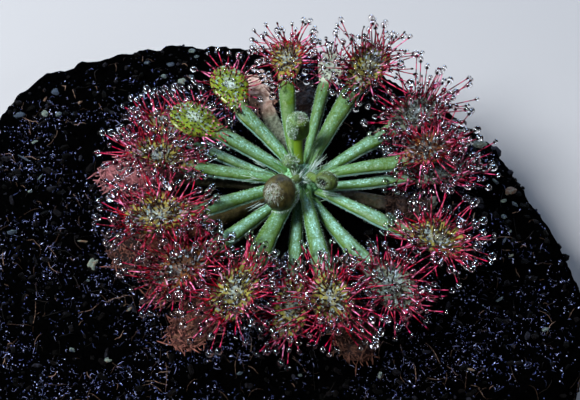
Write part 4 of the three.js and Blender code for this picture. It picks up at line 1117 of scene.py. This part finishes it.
# Stations of a tentacle's stalk, as shares of its length, and of its gland, as gland radii past the
# stalk's end, with their thicknesses and with the place that each ring carries. Short ones are plainer.
# pale is the share of tentacles painted pale all over, and lit the strength of the pale streak on their lit
# side: both painted highlights.
SHORT = {
    "stalk": [-0.05, 0.12, 0.5, 0.83], "gland": [0.1, 1.6], "thickness": (0.098, 0.098),
    "narrowing": [1.3, 1.0, 0.85, 0.7], "egg": [1.0, 0.35], "places": [0, 0.12, 0.5, 0.83, 1.3, 2.0],
    "pale": 0.34, "lit": 0.1, "drop_ring": -1, "sides": 4,
}
LONG = {
    "stalk": [-0.05, 0.08, 0.3, 0.58, 0.83], "gland": [-0.7, 0.3, 1.4, 1.8], "thickness": (0.075, 0.095),
    "narrowing": [1.45, 1.1, 0.9, 0.76, 0.66], "egg": [0.5, 0.95, 0.7, 0.1],
    "places": [0, 0.08, 0.3, 0.58, 0.83, 1.05, 1.3, 1.8, 2.0],
    "pale": 0.17, "lit": 0.36, "drop_ring": -2, "sides": 5,
}
LONG_FROM = 1.6  # an inner tentacle longer than this is a long one
HEART_AT = 0.52  # share of the blade's length from which its tentacles point away
BLADE_SPACING, EDGE_SPACING = 0.58, 0.64
EDGE_DROPS, BLADE_DROPS = (0.26, 0.52), (0.1, 0.2)  # radii
EDGE_WET = 0.86  # share of edge tentacles that carry a drop

# Bristles of withered leaves: spacing on the blade and at the edge, and factors of their angle,
# length and thickness. The base of a rusty leaf has none up to this share of its blade.
LYING, RAISED = (0.36, 0.18, 1, 1, 1), (0.7, 0.4, 0.3, 1.6, 1.3)
BARE_BASE = 0.42
BRISTLE_SHAPE = np.array([1.2, 0.9, 0.85, 1.6, 0.9])


def tentacle_aims(leaf, rng, s, u, edge):
    """Roots, directions, bends and lengths of tentacles. They fan out from the blade's middle: upright
    and short there, longer with the fourth power of the way out, and longest and low at the edge."""
    t = NECK_AT + s * (1 - NECK_AT)
    count = len(s)
    f = leaf_frame(leaf, t)
    normal = f["normal"]
    root = leaf_point(leaf, t, u, 0.0 if edge else 0.8)
    away = root - leaf_frame(leaf, np.array([NECK_AT + HEART_AT * (1 - NECK_AT)]))["centre"]
    away -= np.sum(away * normal, axis=-1, keepdims=True) * normal
    away = unit(away + f["side"] * column(np.sign(u) * edge * 0.8 * smooth(s / 0.4)))
    far = np.clip(np.sqrt(((s - HEART_AT) / 0.5) ** 2 + u**2), 0, 1)
    backward = (not edge) & (s < 0.12)
    far = np.where(edge | backward, 1.0, np.minimum(far, 0.95))
    low = lerp(8, 24, rng.random(count))
    lift = np.radians(lerp(78, low, far**1.15) + rng.normal(0, 1, count) * (10 if edge else 16))
    curled = edge & (rng.random(count) < 0.12)
    lift = np.where(curled, lift + 0.7, lift)
    swing = column(np.radians(rng.normal(0, 1, count) * (13 if edge else 30)))
    out = away * np.cos(swing) + np.cross(normal, away) * np.sin(swing)
    ahead = out * column(np.cos(lift)) + normal * column(np.sin(lift))
    grown = leaf["stub"] + leaf["growth"] * far**2.0
    share = lerp(0.66, 1.0, smooth(s / 0.5)) if edge else np.where(backward, 0.6, grown)
    length = leaf["reach"] * share * lerp(0.72, 1.08, rng.random(count))
    bend = normal * column(rng.normal(0.05, 0.1, count)) + out * column(rng.normal(0.04, 0.07, count))
    bend = (bend + np.cross(normal, out) * column(rng.normal(0, 0.08, count))) * column(length)
    bend = np.where(column(curled), bend - out * column(0.35 * length), bend)
    return root, ahead, bend, length, far


def tentacle_group(aims, rng, form):
    """Stalk and gland of each tentacle as one thin tube, and where its drop sits. The stalk narrows
    evenly to two thirds, and the gland is an egg at its end."""
    root, ahead, bend, length, far = aims
    count, sides = len(root), form["sides"]
    w = column(np.array(form["stalk"]))
    gland = column(lerp(0.1, 0.16, far**2))
    long = column(length)
    stalk = root[:, None] + ahead[:, None] * long[:, None] * w + bend[:, None] * np.sign(w) * w**2
    end = root + ahead * long * 0.9 + bend * 0.81
    tip_axis = unit(ahead * long + 1.8 * bend)
    bulb = end[:, None] + tip_axis[:, None] * gland[:, None] * column(np.array(form["gland"]))
    paths = under_ceiling(over_ground(np.concatenate([stalk, bulb], axis=1), 0.25))
    thick = column(lerp(*form["thickness"], far**1.6))
    radii = np.concatenate([thick * form["narrowing"], gland * form["egg"]], axis=1)
    points, faces, step = strands(paths, radii, sides)
    along = np.tile(np.concatenate([np.repeat(form["places"], sides), [0, 2]]), count)
    off = points.reshape(count, step, 3)[:, :-2].reshape(*paths.shape[:2], sides, 3) - paths[:, :, None]
    # Painted highlight: how much each point faces LIT_FROM, or one on a tentacle painted pale all over.
    lit = smooth((unit(off) @ unit(LIT_FROM) - 0.1) / 0.7).reshape(count, -1)
    pale = rng.random((count, 1)) < form["pale"]
    lit = np.concatenate([np.where(pale, 1.0, lit * form["lit"]), np.zeros((count, 2))], axis=1)
    values = {"along": along, "far": np.repeat(far, step), "lit": lit.ravel()}
    return points, faces, values, paths[:, form["drop_ring"]], tip_axis


def make_tentacles(leaf, material):
    """The stalks and glands of a living leaf. Returns its drops: places, axes, radii, and which of
    them hang at the blade's edge."""
    rng = np.random.default_rng(500 + leaf["seed"])
    blade, edge = blade_sites(leaf, rng, BLADE_SPACING), edge_sites(leaf, rng, EDGE_SPACING)
    inner = tentacle_aims(leaf, rng, *blade, False)
    long = inner[3] > LONG_FROM
    outer = tentacle_aims(leaf, rng, *edge, True)
    outer = tuple(np.concatenate([o, i[long]]) for o, i in zip(outer, inner))
    inner = tuple(i[~long] for i in inner)
    groups = tentacle_group(inner, rng, SHORT), tentacle_group(outer, rng, LONG)
    points, faces, values = joined([group[:3] for group in groups])
    piece(leaf["name"] + "_tentacles", points, faces, material, [leaf["name"]], values)

    place, axis = (np.concatenate([group[k] for group in groups]) for k in (3, 4))
    far = np.concatenate([inner[4], outer[4]])
    on_edge = np.arange(len(far)) >= len(inner[4])
    grown = rng.random(len(far))
    size = np.where(on_edge, lerp(*EDGE_DROPS, grown**1.4), lerp(*BLADE_DROPS, grown**1.3) + 0.06 * far)
    wet = rng.random(len(far)) < np.where(on_edge, EDGE_WET, leaf["wet"])
    place = place + axis * column(size * 0.2)
    return place[wet], axis[wet], size[wet], on_edge[wet]


def swell_drops(drops):
    """The edge drop nearest to each swollen place takes its radius."""
    rows = [(name, k) for name, (_, _, _, edge) in drops.items() for k in np.flatnonzero(edge)]
    places = np.array([drops[name][0][k][:2] for name, k in rows])
    for at, radius in SWOLLEN:
        name, k = rows[int(np.argmin(np.linalg.norm(places - np.array(at), axis=1)))]
        drops[name][2][k] = radius


def make_drops(leaf, drops, mucilage, dew):
    """The drops of a leaf: balls a little longer than wide, rounder at the edge where they are large,
    and a finer, glossier dew on the blade."""
    place, axis, size, edge = drops
    rng = np.random.default_rng(800 + leaf["seed"])
    place = over_ground(place.copy(), size * 0.9)
    for kind, which, material, sides, rings in (("_drops", edge, mucilage, 8, 5), ("_dew", ~edge, dew, 6, 3)):
        stretch = lerp(1.0, 1.22, rng.random(which.sum()))
        points, faces, _ = beads(place[which], axis[which], size[which], stretch, sides, rings)
        piece(leaf["name"] + kind, points, faces, material, [leaf["name"]])


def make_bridges(drops, mucilage):
    """Drops of neighbouring leaves that have run together: a tube from one to the other, as wide as
    each at its end, narrow in the middle and sagging there."""
    place = np.vstack([at[edge] for at, _, _, edge in drops.values()])
    size = np.concatenate([radius[edge] for _, _, radius, edge in drops.values()])
    owner = np.concatenate([np.full(row[3].sum(), i) for i, row in enumerate(drops.values())])
    gap = np.linalg.norm(place[:, None] - place[None], axis=-1)
    near = (gap > BRIDGES["over"]) & (gap < BRIDGES["under"])
    a, b = np.nonzero(np.triu((owner[:, None] != owner[None]) & near, 1))
    used, pairs = set(), []
    for k in np.random.default_rng(44).permutation(len(a)):
        if len(pairs) < BRIDGES["count"] and not {a[k], b[k]} & used:
            used |= {a[k], b[k]}
            pairs.append(k)
    a, b = a[pairs], b[pairs]
    ends = np.array([0.1, 0.7, 0.95, 0.72, 0.5, 0.72, 0.95, 0.7, 0.1])
    w = np.linspace(0, 1, len(ends))
    paths = lerp(place[a][:, None], place[b][:, None], column(w))
    paths[..., 2] -= 0.18 * (1 - (2 * w - 1) ** 2)
    points, faces, _ = strands(paths, lerp(column(size[a]), column(size[b]), w) * ends * 0.9, 10)
    piece("run_together_drops", points, faces, mucilage)


def make_bristles(leaf, material):
    """Dried tentacles of a withered leaf: short curled lines that mat over the blade and fringe it."""
    rng = np.random.default_rng(700 + leaf["seed"])
    on_blade, at_edge, steep, stretch, stout = RAISED if leaf["lift"] > 0 else LYING
    blade = blade_sites(leaf, rng, on_blade)
    s, u = np.concatenate([blade, edge_sites(leaf, rng, at_edge)], axis=1)
    on_edge = np.arange(len(s)) >= len(blade[0])
    if leaf["finish"] == "rust":
        kept = s > BARE_BASE
        s, u, on_edge = s[kept], u[kept], on_edge[kept]
    count = len(s)
    t = NECK_AT + s * (1 - NECK_AT)
    f = leaf_frame(leaf, t)
    normal = f["normal"]
    root = leaf_point(leaf, t, u, 0.6)
    away = f["side"] * column(u) + f["ahead"] * column(s - 0.45) * 1.6
    away = unit(away + np.cross(normal, away) * column(rng.normal(0, 0.9, count)))
    lift = np.where(on_edge, rng.uniform(-10, 50, count), rng.uniform(20, 80, count))
    lift = column(np.radians(lift) * steep)
    ahead = away * np.cos(lift) + normal * np.sin(lift)
    length = np.where(on_edge, rng.uniform(0.4, 1.1, count), rng.uniform(0.35, 0.9, count))
    length = column(length * stretch)
    w = column(np.linspace(0, 1, 5))
    curl = np.cross(normal, away) * column(rng.normal(0, 1.1, count))
    curl = curl - away * column(rng.uniform(0, 0.9, count)) - normal * column(rng.uniform(0.0, 0.8, count))
    curl = curl * length
    paths = root[:, None] + ahead[:, None] * length[:, None] * w + curl[:, None] * w**2
    thick = column(rng.uniform(0.045, 0.075, count)) * stout
    points, faces, step = strands(over_ground(paths, 0.12), thick * BRISTLE_SHAPE, 3)
    tone = np.repeat(rng.uniform(0.2, 1.1, count), step)
    values = {"tone": tone, "along": np.full(len(tone), 0.9)}
    piece(leaf["name"] + "_bristles", points, faces, material, [leaf["name"]], values)


# ---------------------------------------------------------------- hairs and crown

FRINGED = np.arange(0.03, 0.54, 0.008)  # places along a stalk that bear hairs on both edges
STIPULE_SHAPE = np.array([0.3, 0.3, 0.24, 0.16, 0.08, 0.02])
DOME_SHOULDER, SHOULDER_HEIGHT = 0.6, 3.0  # share of the way down the crown's dome, and height there


def hairs(roots, aims, lengths, radius, bends, tones):
    """Fine hairs: straight lines with a bend that grows with the square of the way along, narrowing
    to a point. Returns points, faces and values."""
    w = column(np.array([0, 0.5, 1.0]))
    paths = roots[:, None] + aims[:, None] * lengths[:, None, None] * w + bends[:, None] * w**2
    points, faces, step = strands(paths, column(radius) * np.array([1.0, 0.8, 0.2]), 3)
    return points, faces, {"tone": np.repeat(tones, step)}


def silk_piece(name, parts, silk):
    """Hairs of several places as one piece."""
    points, faces, values = joined(parts)
    piece(name, points, faces, silk, values=values)


def make_papillae(leaves, silk):
    """The white fringe along both edges of every living stalk."""
    parts = []
    for leaf in leaves:
        rng = np.random.default_rng(300 + leaf["seed"])
        t = np.repeat(FRINGED, 2)
        count = len(t)
        t = t + rng.normal(0, 0.002, count)
        sign = np.tile([-1.0, 1.0], count // 2)
        f = leaf_frame(leaf, t)
        root = leaf_point(leaf, t, sign * 0.97, rng.uniform(-0.4, 0.4, count))
        aim = unit(f["side"] * column(sign) + f["normal"] * column(rng.normal(0.2, 0.4, count))
                   + f["ahead"] * column(rng.normal(0.2, 0.3, count)))
        length = rng.uniform(0.08, 0.24, count)
        straight = np.zeros((count, 3))
        parts.append(hairs(root, aim, length, np.full(count, 0.03), straight, rng.uniform(0.1, 1, count)))
    silk_piece("stalk_fringe", parts, silk)


def make_silk(leaves, silk):
    """Fans of silvery hairs among the stalks, and a few at the root of each leaf."""
    rng = np.random.default_rng(64)
    parts = []

    def grow(root, way, size, lengths, bent, radii, tones):
        """Hairs with random lengths, bends, radii and tones, drawn in this order."""
        count = len(root)
        long = size * rng.uniform(*lengths, count)
        bend = rng.normal(0, bent, (count, 3)) * column(long)
        parts.append(hairs(root, way, long, rng.uniform(*radii, count), bend, rng.uniform(*tones, count)))

    for at, aim, length, spread, count in HAIR_FANS:
        root = np.array(at) + ON_PEAT + rng.normal(0, 0.28, (count, 3)) * [1, 1, 0.4]
        way = unit(unit(np.array(aim)) + rng.normal(0, math.radians(spread), (count, 3)))
        grow(root, way, length, (0.6, 1.1), 0.12, (0.026, 0.045), (0.2, 1.0))
    for leaf in leaves:
        count = int(rng.integers(3, 9))
        t = rng.uniform(-0.01, 0.06, count)
        f = leaf_frame(leaf, t)
        root = leaf_point(leaf, t, rng.uniform(-0.9, 0.9, count), 0.9)
        way = unit(f["ahead"] * column(rng.uniform(0.6, 1.2, count))
                   + f["normal"] * column(rng.uniform(0.1, 0.7, count))
                   + f["side"] * column(rng.normal(0, 0.5, count)))
        grow(root, way, 1.0, (0.8, 1.9), 0.15, (0.02, 0.035), (0.0, 0.9))
    silk_piece("silky_hairs", parts, silk)


def make_crown(material):
    """A fluted dome: its radius swells by a twelfth towards each of seventeen leaves, and its height
    follows a quarter of an ellipse over its shoulder and falls straight below it."""
    angle = turns(136)
    walk = column(np.linspace(0, 1, 24))
    over = walk / DOME_SHOULDER * math.pi / 2
    r = CROWN_RADIUS * np.sin(np.minimum(over, math.pi / 2)) ** 0.9
    dome = SHOULDER_HEIGHT + (CROWN_TOP + 0.1 - SHOULDER_HEIGHT) * np.cos(over)
    wall = SHOULDER_HEIGHT * (1 - (walk - DOME_SHOULDER) / (1 - DOME_SHOULDER)) - 0.3
    z = PEAT_TOP + np.where(walk < DOME_SHOULDER, dome, wall) * np.ones_like(angle)
    rough = layered_noise(angle * 9 + 40, walk * 9, 1.0, 3, 3) - 0.5
    r = r * (1 + 0.08 * np.cos(len(LIVING) * angle) * smooth(walk * 2) + 0.06 * rough)
    points, faces = closed_tube(np.stack([r * np.cos(angle), r * np.sin(angle), z], axis=-1))
    piece("crown_dome", points, faces, material, ["crown"])


def make_stipules(leaves, silk):
    """Thin pointed scales that clasp the leaf roots: a flat profile carried out over each stalk."""
    rng = np.random.default_rng(77)
    stations = len(STIPULE_SHAPE)
    paths, radii, tones = [], [], []
    for leaf in leaves:
        for offset in (-0.45, 0.4):
            t = np.linspace(-0.05, rng.uniform(0.07, 0.12), stations)
            rise = np.linspace(0.05, rng.uniform(0.3, 0.6), stations)
            line = leaf_point(leaf, t, offset * np.linspace(0.6, 1.3, stations), 1.0)
            paths.append(line + leaf_frame(leaf, t)["normal"] * column(rise))
            radii.append(STIPULE_SHAPE * rng.uniform(0.55, 0.9))
            tones.append(rng.uniform(-0.5, 0.05))
    points, faces, step = strands(np.array(paths), np.array(radii), 8, 0.2)
    piece("stipules", points, faces, silk, values={"tone": np.repeat(tones, step)})


# ---------------------------------------------------------------- young leaves

DOME_FACES = unit(TO_RIM)
DOME_BROW, DOME_BELOW = unit(np.array([0.2, -0.55, 0.81])), unit(np.array([0.81, -0.36, -0.45]))
DOME_LEAN = unit(np.array([0.62, 0.5, 0.6]))
DOME_LIGHT = unit(np.array([-0.3, -0.66, 0.69]))
BROW_AT = 0.06  # the brow is a band this far up along its direction
CURL_MOUTH = unit(np.array([-0.26, -0.85, 0.46]))
KNOB_BRIM = 0.72

# Felt, rim and pale speckle of the young leaves' stalks.
STALK_VALUES = {
    "young_1": (0.9, 0.5, 0.9), "young_2": (0.1, 0.9, 0.0),
    "young_3": (0.9, 0.5, 0.6), "young_4": (0.9, 0.1, 0.0),
}

# Hairs of the young leaves: ball, middle direction and angle of their spot, number, length, and how
# far they stand off.
YOUNG_FUZZ = (
    ("young_1", -DOME_FACES, 1.4, 260, 0.35, 0.5), ("young_2", (-0.8, -0.5, 0.2), 1.0, 160, 0.12, 0.9),
    ("young_2", (0, 0, 1), 0.95, 260, 0.16, 0.8), ("young_3", CURL_MOUTH, 0.6, 70, 0.3, 0.7),
    ("young_3", (0.3, 0.6, 0.7), 1.0, 50, 0.25, 0.7), ("young_4", (0, 0, 1), 1.6, 150, 0.55, 0.45),
)
# Middle direction of the dome's pale hairs, which are bunched on its lit side as a painted highlight, and
# the numbers and angles of their nested spots.
SHEEN_FACES, SHEEN = (-0.28, -0.68, 0.68), ((45, 0.3), (55, 0.5), (45, 0.75))


def ball_directions(around, rings):
    """Unit directions on rings x around points, from straight down to straight up."""
    polar = column((np.arange(rings) + 0.5) / rings * math.pi)
    angle = turns(around)
    x, y = np.sin(polar) * np.cos(angle), np.sin(polar) * np.sin(angle)
    return np.stack([x, y, -np.cos(polar) * np.ones_like(angle)], axis=-1)


def on_ball(name, directions):
    """Points of a young leaf's turned ellipsoid in the given directions."""
    at, half, turn = YOUNG_BALLS[name]
    p = directions * np.array(half)
    x, y = turned(p[..., 0], p[..., 1], math.cos(math.radians(turn)), math.sin(math.radians(turn)))
    return np.stack([x, y, p[..., 2]], axis=-1) + np.array(at) + ON_PEAT


def scattered_directions(rng, count, middle, within):
    """Even directions within an angle of a middle one."""
    z = unit(rng.normal(0, 1, (count * 12, 3)))
    return z[z @ unit(np.array(middle)) > math.cos(within)][:count]


def grain(d):
    """Small unevenness of a rolled blade."""
    x, y, z = d[..., 0], d[..., 1], d[..., 2]
    return 0.02 * (layered_noise(x * 4 + 20, y * 4 + z * 3 + 20, 1.0, 3, 15) - 0.5)


def dome(d):
    """The large knob: a ball with a low brow and a hollow underside, and a painted highlight on its side
    towards DOME_LIGHT.
    """
    ridge = bell(d @ DOME_BROW, BROW_AT, 0.07) * smooth((d @ DOME_BELOW - 0.25) / 0.4)
    under = smooth((-0.16 - d @ DOME_FACES) / 0.2)
    # Painted highlight on the side towards DOME_LIGHT.
    bloom = 0.85 * smooth((d @ DOME_LIGHT - 0.66) / 0.34)
    swell = 0.97 + grain(d) + 0.05 * (d @ DOME_LEAN) + 0.04 * ridge - 0.06 * under
    return swell, {"rim": ridge, "felt": under, "bloom": bloom}


def knob(d):
    """The tall knob: a barrel, whose sum of powers of the direction's parts is one, with a seam and a
    brim."""
    x, y, z = d[..., 0], d[..., 1], d[..., 2]
    barrel = (1 + grain(d)) / (np.abs(x) ** 2.6 + np.abs(y) ** 2.6 + np.abs(z) ** 3.4) ** 0.33
    seam = 0.05 * bell(x, -0.1, 0.09) * (y < 0.3)
    lit = smooth((0.12 - x) / 0.3) * smooth((0.55 - y) / 0.4)
    rim = bell(z, KNOB_BRIM, 0.09) * 0.5 + 0.3 * smooth(-z)
    bloom = 0.7 * smooth((z - 0.62) / 0.2)
    return barrel - seam + 0.03 * bell(z, KNOB_BRIM, 0.1), {"felt": lit, "rim": rim, "bloom": bloom}


def curl(d):
    """A blade rolled to a shell with a pit for its mouth and a lip round it; the pit carries painted shade.
    """
    off = np.arccos(np.clip(d @ CURL_MOUTH, -1, 1))
    pit, lip = bell(off, 0, 0.5), bell(off, 0.66, 0.15)
    return 1 + grain(d) - 0.55 * pit + 0.06 * lip, {"hollow": smooth(pit * 2.6 - 0.5), "felt": lip}


def bud(d):
    """An uneven ball, felted all over."""
    return 1 + 4 * grain(d), {"felt": np.full(d.shape[:-1], 0.8)}


def make_young_roll(name, shape):
    """One young leaf: its stalk, an ellipse carried along a bent line, and its rolled blade, whose
    radius is scaled with direction."""
    p = np.array(YOUNG_STALKS[name]) + ON_PEAT
    w = column(np.linspace(0, 1, 14))
    path = p[0] * (1 - w) * (1 - 2 * w) + p[1] * 4 * w * (1 - w) + p[2] * w * (2 * w - 1)
    points, faces, _ = strands(path[None], np.full((1, 14), 0.56), 16, 0.85)
    felt, rim, bloom = STALK_VALUES[name]
    plain = {"felt": felt, "rim": rim, "hollow": 0.0, "bloom": bloom}
    stalk = points, faces, {key: np.full(len(points), value) for key, value in plain.items()}

    d = ball_directions(56, 40)
    swell, shown = shape(d)
    values = {}
    for key in plain:
        value = shown.get(key, np.zeros(swell.shape))
        values[key] = np.append(value, [value[0].mean(), value[-1].mean()])
    blade = *closed_tube(on_ball(name, d * column(swell))), values
    points, faces, values = joined([stalk, blade])
    piece(name + "_roll", points, faces, young_material(shape.__name__), [name], values)


def make_young(silk):
    """The four young leaves, and the hairs and glands that show on them."""
    for name, shape in (("young_1", dome), ("young_2", knob), ("young_3", curl), ("young_4", bud)):
        make_young_roll(name, shape)

    rng = np.random.default_rng(90)
    fuzz = []
    for ball, middle, within, count, length, out in YOUNG_FUZZ:
        d = scattered_directions(rng, count, middle, within)
        count = len(d)
        root = on_ball(ball, d * (column(knob(d)[0]) if ball == "young_2" else 0.98))
        way = unit(d * out + rng.normal(0, 0.35, (count, 3)) + UP * 0.15)
        long = length * rng.uniform(0.5, 1.2, count)
        radii = rng.uniform(0.018, 0.032, count)
        bend = rng.normal(0, 0.2, (count, 3)) * column(long)
        fuzz.append(hairs(root, way, long, radii, bend, rng.uniform(0.1, 0.9, count)))

    # Pale hairs bunched on the dome's lit side: a painted highlight.
    d = np.concatenate([scattered_directions(rng, many, SHEEN_FACES, within) for many, within in SHEEN])
    count = len(d)
    root = on_ball("young_1", d * column(0.985 + 0.05 * (d @ DOME_LEAN)))
    down = unit(-UP + d * d[:, 2:3] + 0.25 * rng.normal(0, 1, d.shape))
    long = rng.uniform(0.25, 0.6, count)
    tones = rng.uniform(0.1, 0.9, count)
    fuzz.append(hairs(root, unit(down + 0.12 * d), long, np.full(count, 0.016), -0.08 * d, tones))

    d = scattered_directions(rng, 7000, DOME_FACES, math.pi)
    d = d[(np.abs(d @ DOME_BROW - BROW_AT) < 0.05) & (d @ DOME_BELOW > 0.45)][:150]
    count = len(d)
    way = unit(d + rng.normal(0, 0.25, d.shape))
    long = rng.uniform(0.15, 0.35, count)
    tones = rng.uniform(0.4, 1, count)
    root = on_ball("young_1", d * 1.03)
    fuzz.append(hairs(root, way, long, np.full(count, 0.035), np.zeros_like(d), tones))
    silk_piece("young_hairs", fuzz, silk)

    d = scattered_directions(rng, 230, (-0.8, -0.55, 0.1), 1.0)
    count = len(d)
    root = on_ball("young_2", d * column(knob(d)[0]))
    points, faces, step = beads(root, d, rng.uniform(0.04, 0.075, count), np.full(count, 1.1), 5, 3)
    values = {"tone": np.repeat(rng.uniform(0.0, 0.9, count), step)}
    piece("young_2_glands", points, faces, silk, ["young_2"], values)


# ---------------------------------------------------------------- stage, in metres

FLOOR_HALF = 2.5
FLOOR_TONE = (0.26, 0.26, 0.265)
LIGHTS = (  # name, place, size, power and colour
    ("key", (-0.24, -0.04, 0.35), 0.16, 4.8, (0.96, 0.98, 1.0)),
    ("fill", (0.3, -0.12, 0.22), 0.1, 0.35, (0.9, 0.94, 1.0)),
    ("back", (0.08, 0.42, 0.15), 0.2, 1.8, (0.5, 0.68, 1.0)),
    ("side", (-0.36, 0.22, 0.12), 0.16, 0.7, (0.8, 0.88, 1.0)),
)
LIT_POINT = np.array([0, 0, 0.015])
ROOM = {"Color": (0.82, 0.88, 1.0, 1), "Strength": 0.05}
CAMERA = {"elevation": 54, "distance": 0.2014, "looks_at": (-0.0015, 0, 0.016), "raised": -0.002625}


def in_scene(name, data):
    """A new object in the scene."""
    obj = bpy.data.objects.new(name, data)
    bpy.context.collection.objects.link(obj)
    return obj


def make_stage():
    """The floor, the lights and the camera."""
    mesh = bpy.data.meshes.new("floor")
    corners = [(x * FLOOR_HALF, y * FLOOR_HALF, 0) for x, y in ((-1, -1), (1, -1), (1, 1), (-1, 1))]
    mesh.from_pydata(corners, [], [(0, 1, 2, 3)])
    mesh.materials.append(Finish("floor", Base_Color=FLOOR_TONE, Roughness=0.85).material)
    in_scene("floor", mesh)

    for name, place, size, power, colour in LIGHTS:
        data = bpy.data.lights.new(name, "AREA")
        data.size, data.energy, data.color = size, power, colour
        lamp = in_scene(name, data)
        lamp.location = place
        x, y, z = LIT_POINT - np.array(place)
        lamp.rotation_euler = (math.atan2(math.hypot(x, y), -z), 0, math.atan2(x, -y) + math.pi)

    world = bpy.data.worlds.new("room")
    world.use_nodes = True
    for name, value in ROOM.items():
        world.node_tree.nodes["Background"].inputs[name].default_value = value
    bpy.context.scene.world = world

    elevation = math.radians(CAMERA["elevation"])
    ahead = np.array([0, math.cos(elevation), -math.sin(elevation)])
    up = np.array([0, math.sin(elevation), math.cos(elevation)])
    target = np.array(CAMERA["looks_at"]) + up * CAMERA["raised"]
    data = bpy.data.cameras.new("camera")
    data.lens, data.sensor_width, data.clip_start, data.clip_end = 100, 36, 0.01, 10
    camera = in_scene("camera", data)
    camera.location = target - ahead * CAMERA["distance"]
    camera.rotation_euler = (math.pi / 2 - elevation, 0, 0)
    bpy.context.scene.camera = camera
    bpy.context.scene.view_settings.view_transform = "Standard"


# ---------------------------------------------------------------- everything

make_stage()
make_peat()
fibre, thread, crumb, sand, chip = (
    ground_material(name) for name in ("root fibre", "moss thread", "peat crumb", "sand grain", "chip"))
make_fibres("root_fibres", fibre, seed=3, count=850, length=(0.6, 4.0), radius=(0.02, 0.06), arch=0.35,
            tones=(0.05, 0.9), rings=6, sides=4, patchy=0.6, bend=0.5)
# Fine threads whose pale blue tones are painted glints of wet peat.
make_fibres("moss_threads", thread, seed=13, count=3200, length=(0.15, 1.0), radius=(0.014, 0.03), arch=0.3,
            tones=(0.1, 1.0), rings=4, sides=3, patchy=0.85, bend=0.9)
make_grains("peat_crumbs", crumb, seed=5, count=1800, size=(0.1, 0.5), patchy=0.3, flat=0.8, long=2.2,
            tones=(0.0, 0.75), sides=5, rings=2)
# Tiny grains whose pale blue tones are painted glints of wet peat.
make_grains("sand_grains", sand, seed=8, count=13000, size=(0.028, 0.085), patchy=0.95, flat=0.9, long=3.5,
            tones=(0.15, 1.05), sides=3, rings=1)
make_chips(chip)
make_flank_litter(fibre, crumb, sand)

leaves = leaf_rows()
living = [leaf for leaf in leaves if not leaf["dry"]]
silk = silk_material()
make_crown(crown_material())
make_stipules(living, silk)
make_papillae(living, silk)
make_silk(living, silk)
make_young(silk)
mucilage, dew = mucilage_material("mucilage", 1.45), mucilage_material("dew", 2.0)
leaf_finishes = {tone: leaf_material(tone) for tone in LEAF_TONES}
tentacle_finishes = {tone: tentacle_material(tone) for tone in TENTACLE_TONES}
dry_finishes = {tone: dry_material(tone) for tone in DRY_TONES}
drops = {}
for leaf in leaves:
    if leaf["dry"]:
        make_skin(leaf, dry_finishes[leaf["finish"]])
        make_bristles(leaf, dry_finishes[leaf["finish"]])
    else:
        make_skin(leaf, leaf_finishes[leaf["finish"]])
        drops[leaf["name"]] = make_tentacles(leaf, tentacle_finishes[leaf["finish"]])
swell_drops(drops)
for leaf in living:
    make_drops(leaf, drops[leaf["name"]], mucilage, dew)
make_bridges(drops, mucilage)
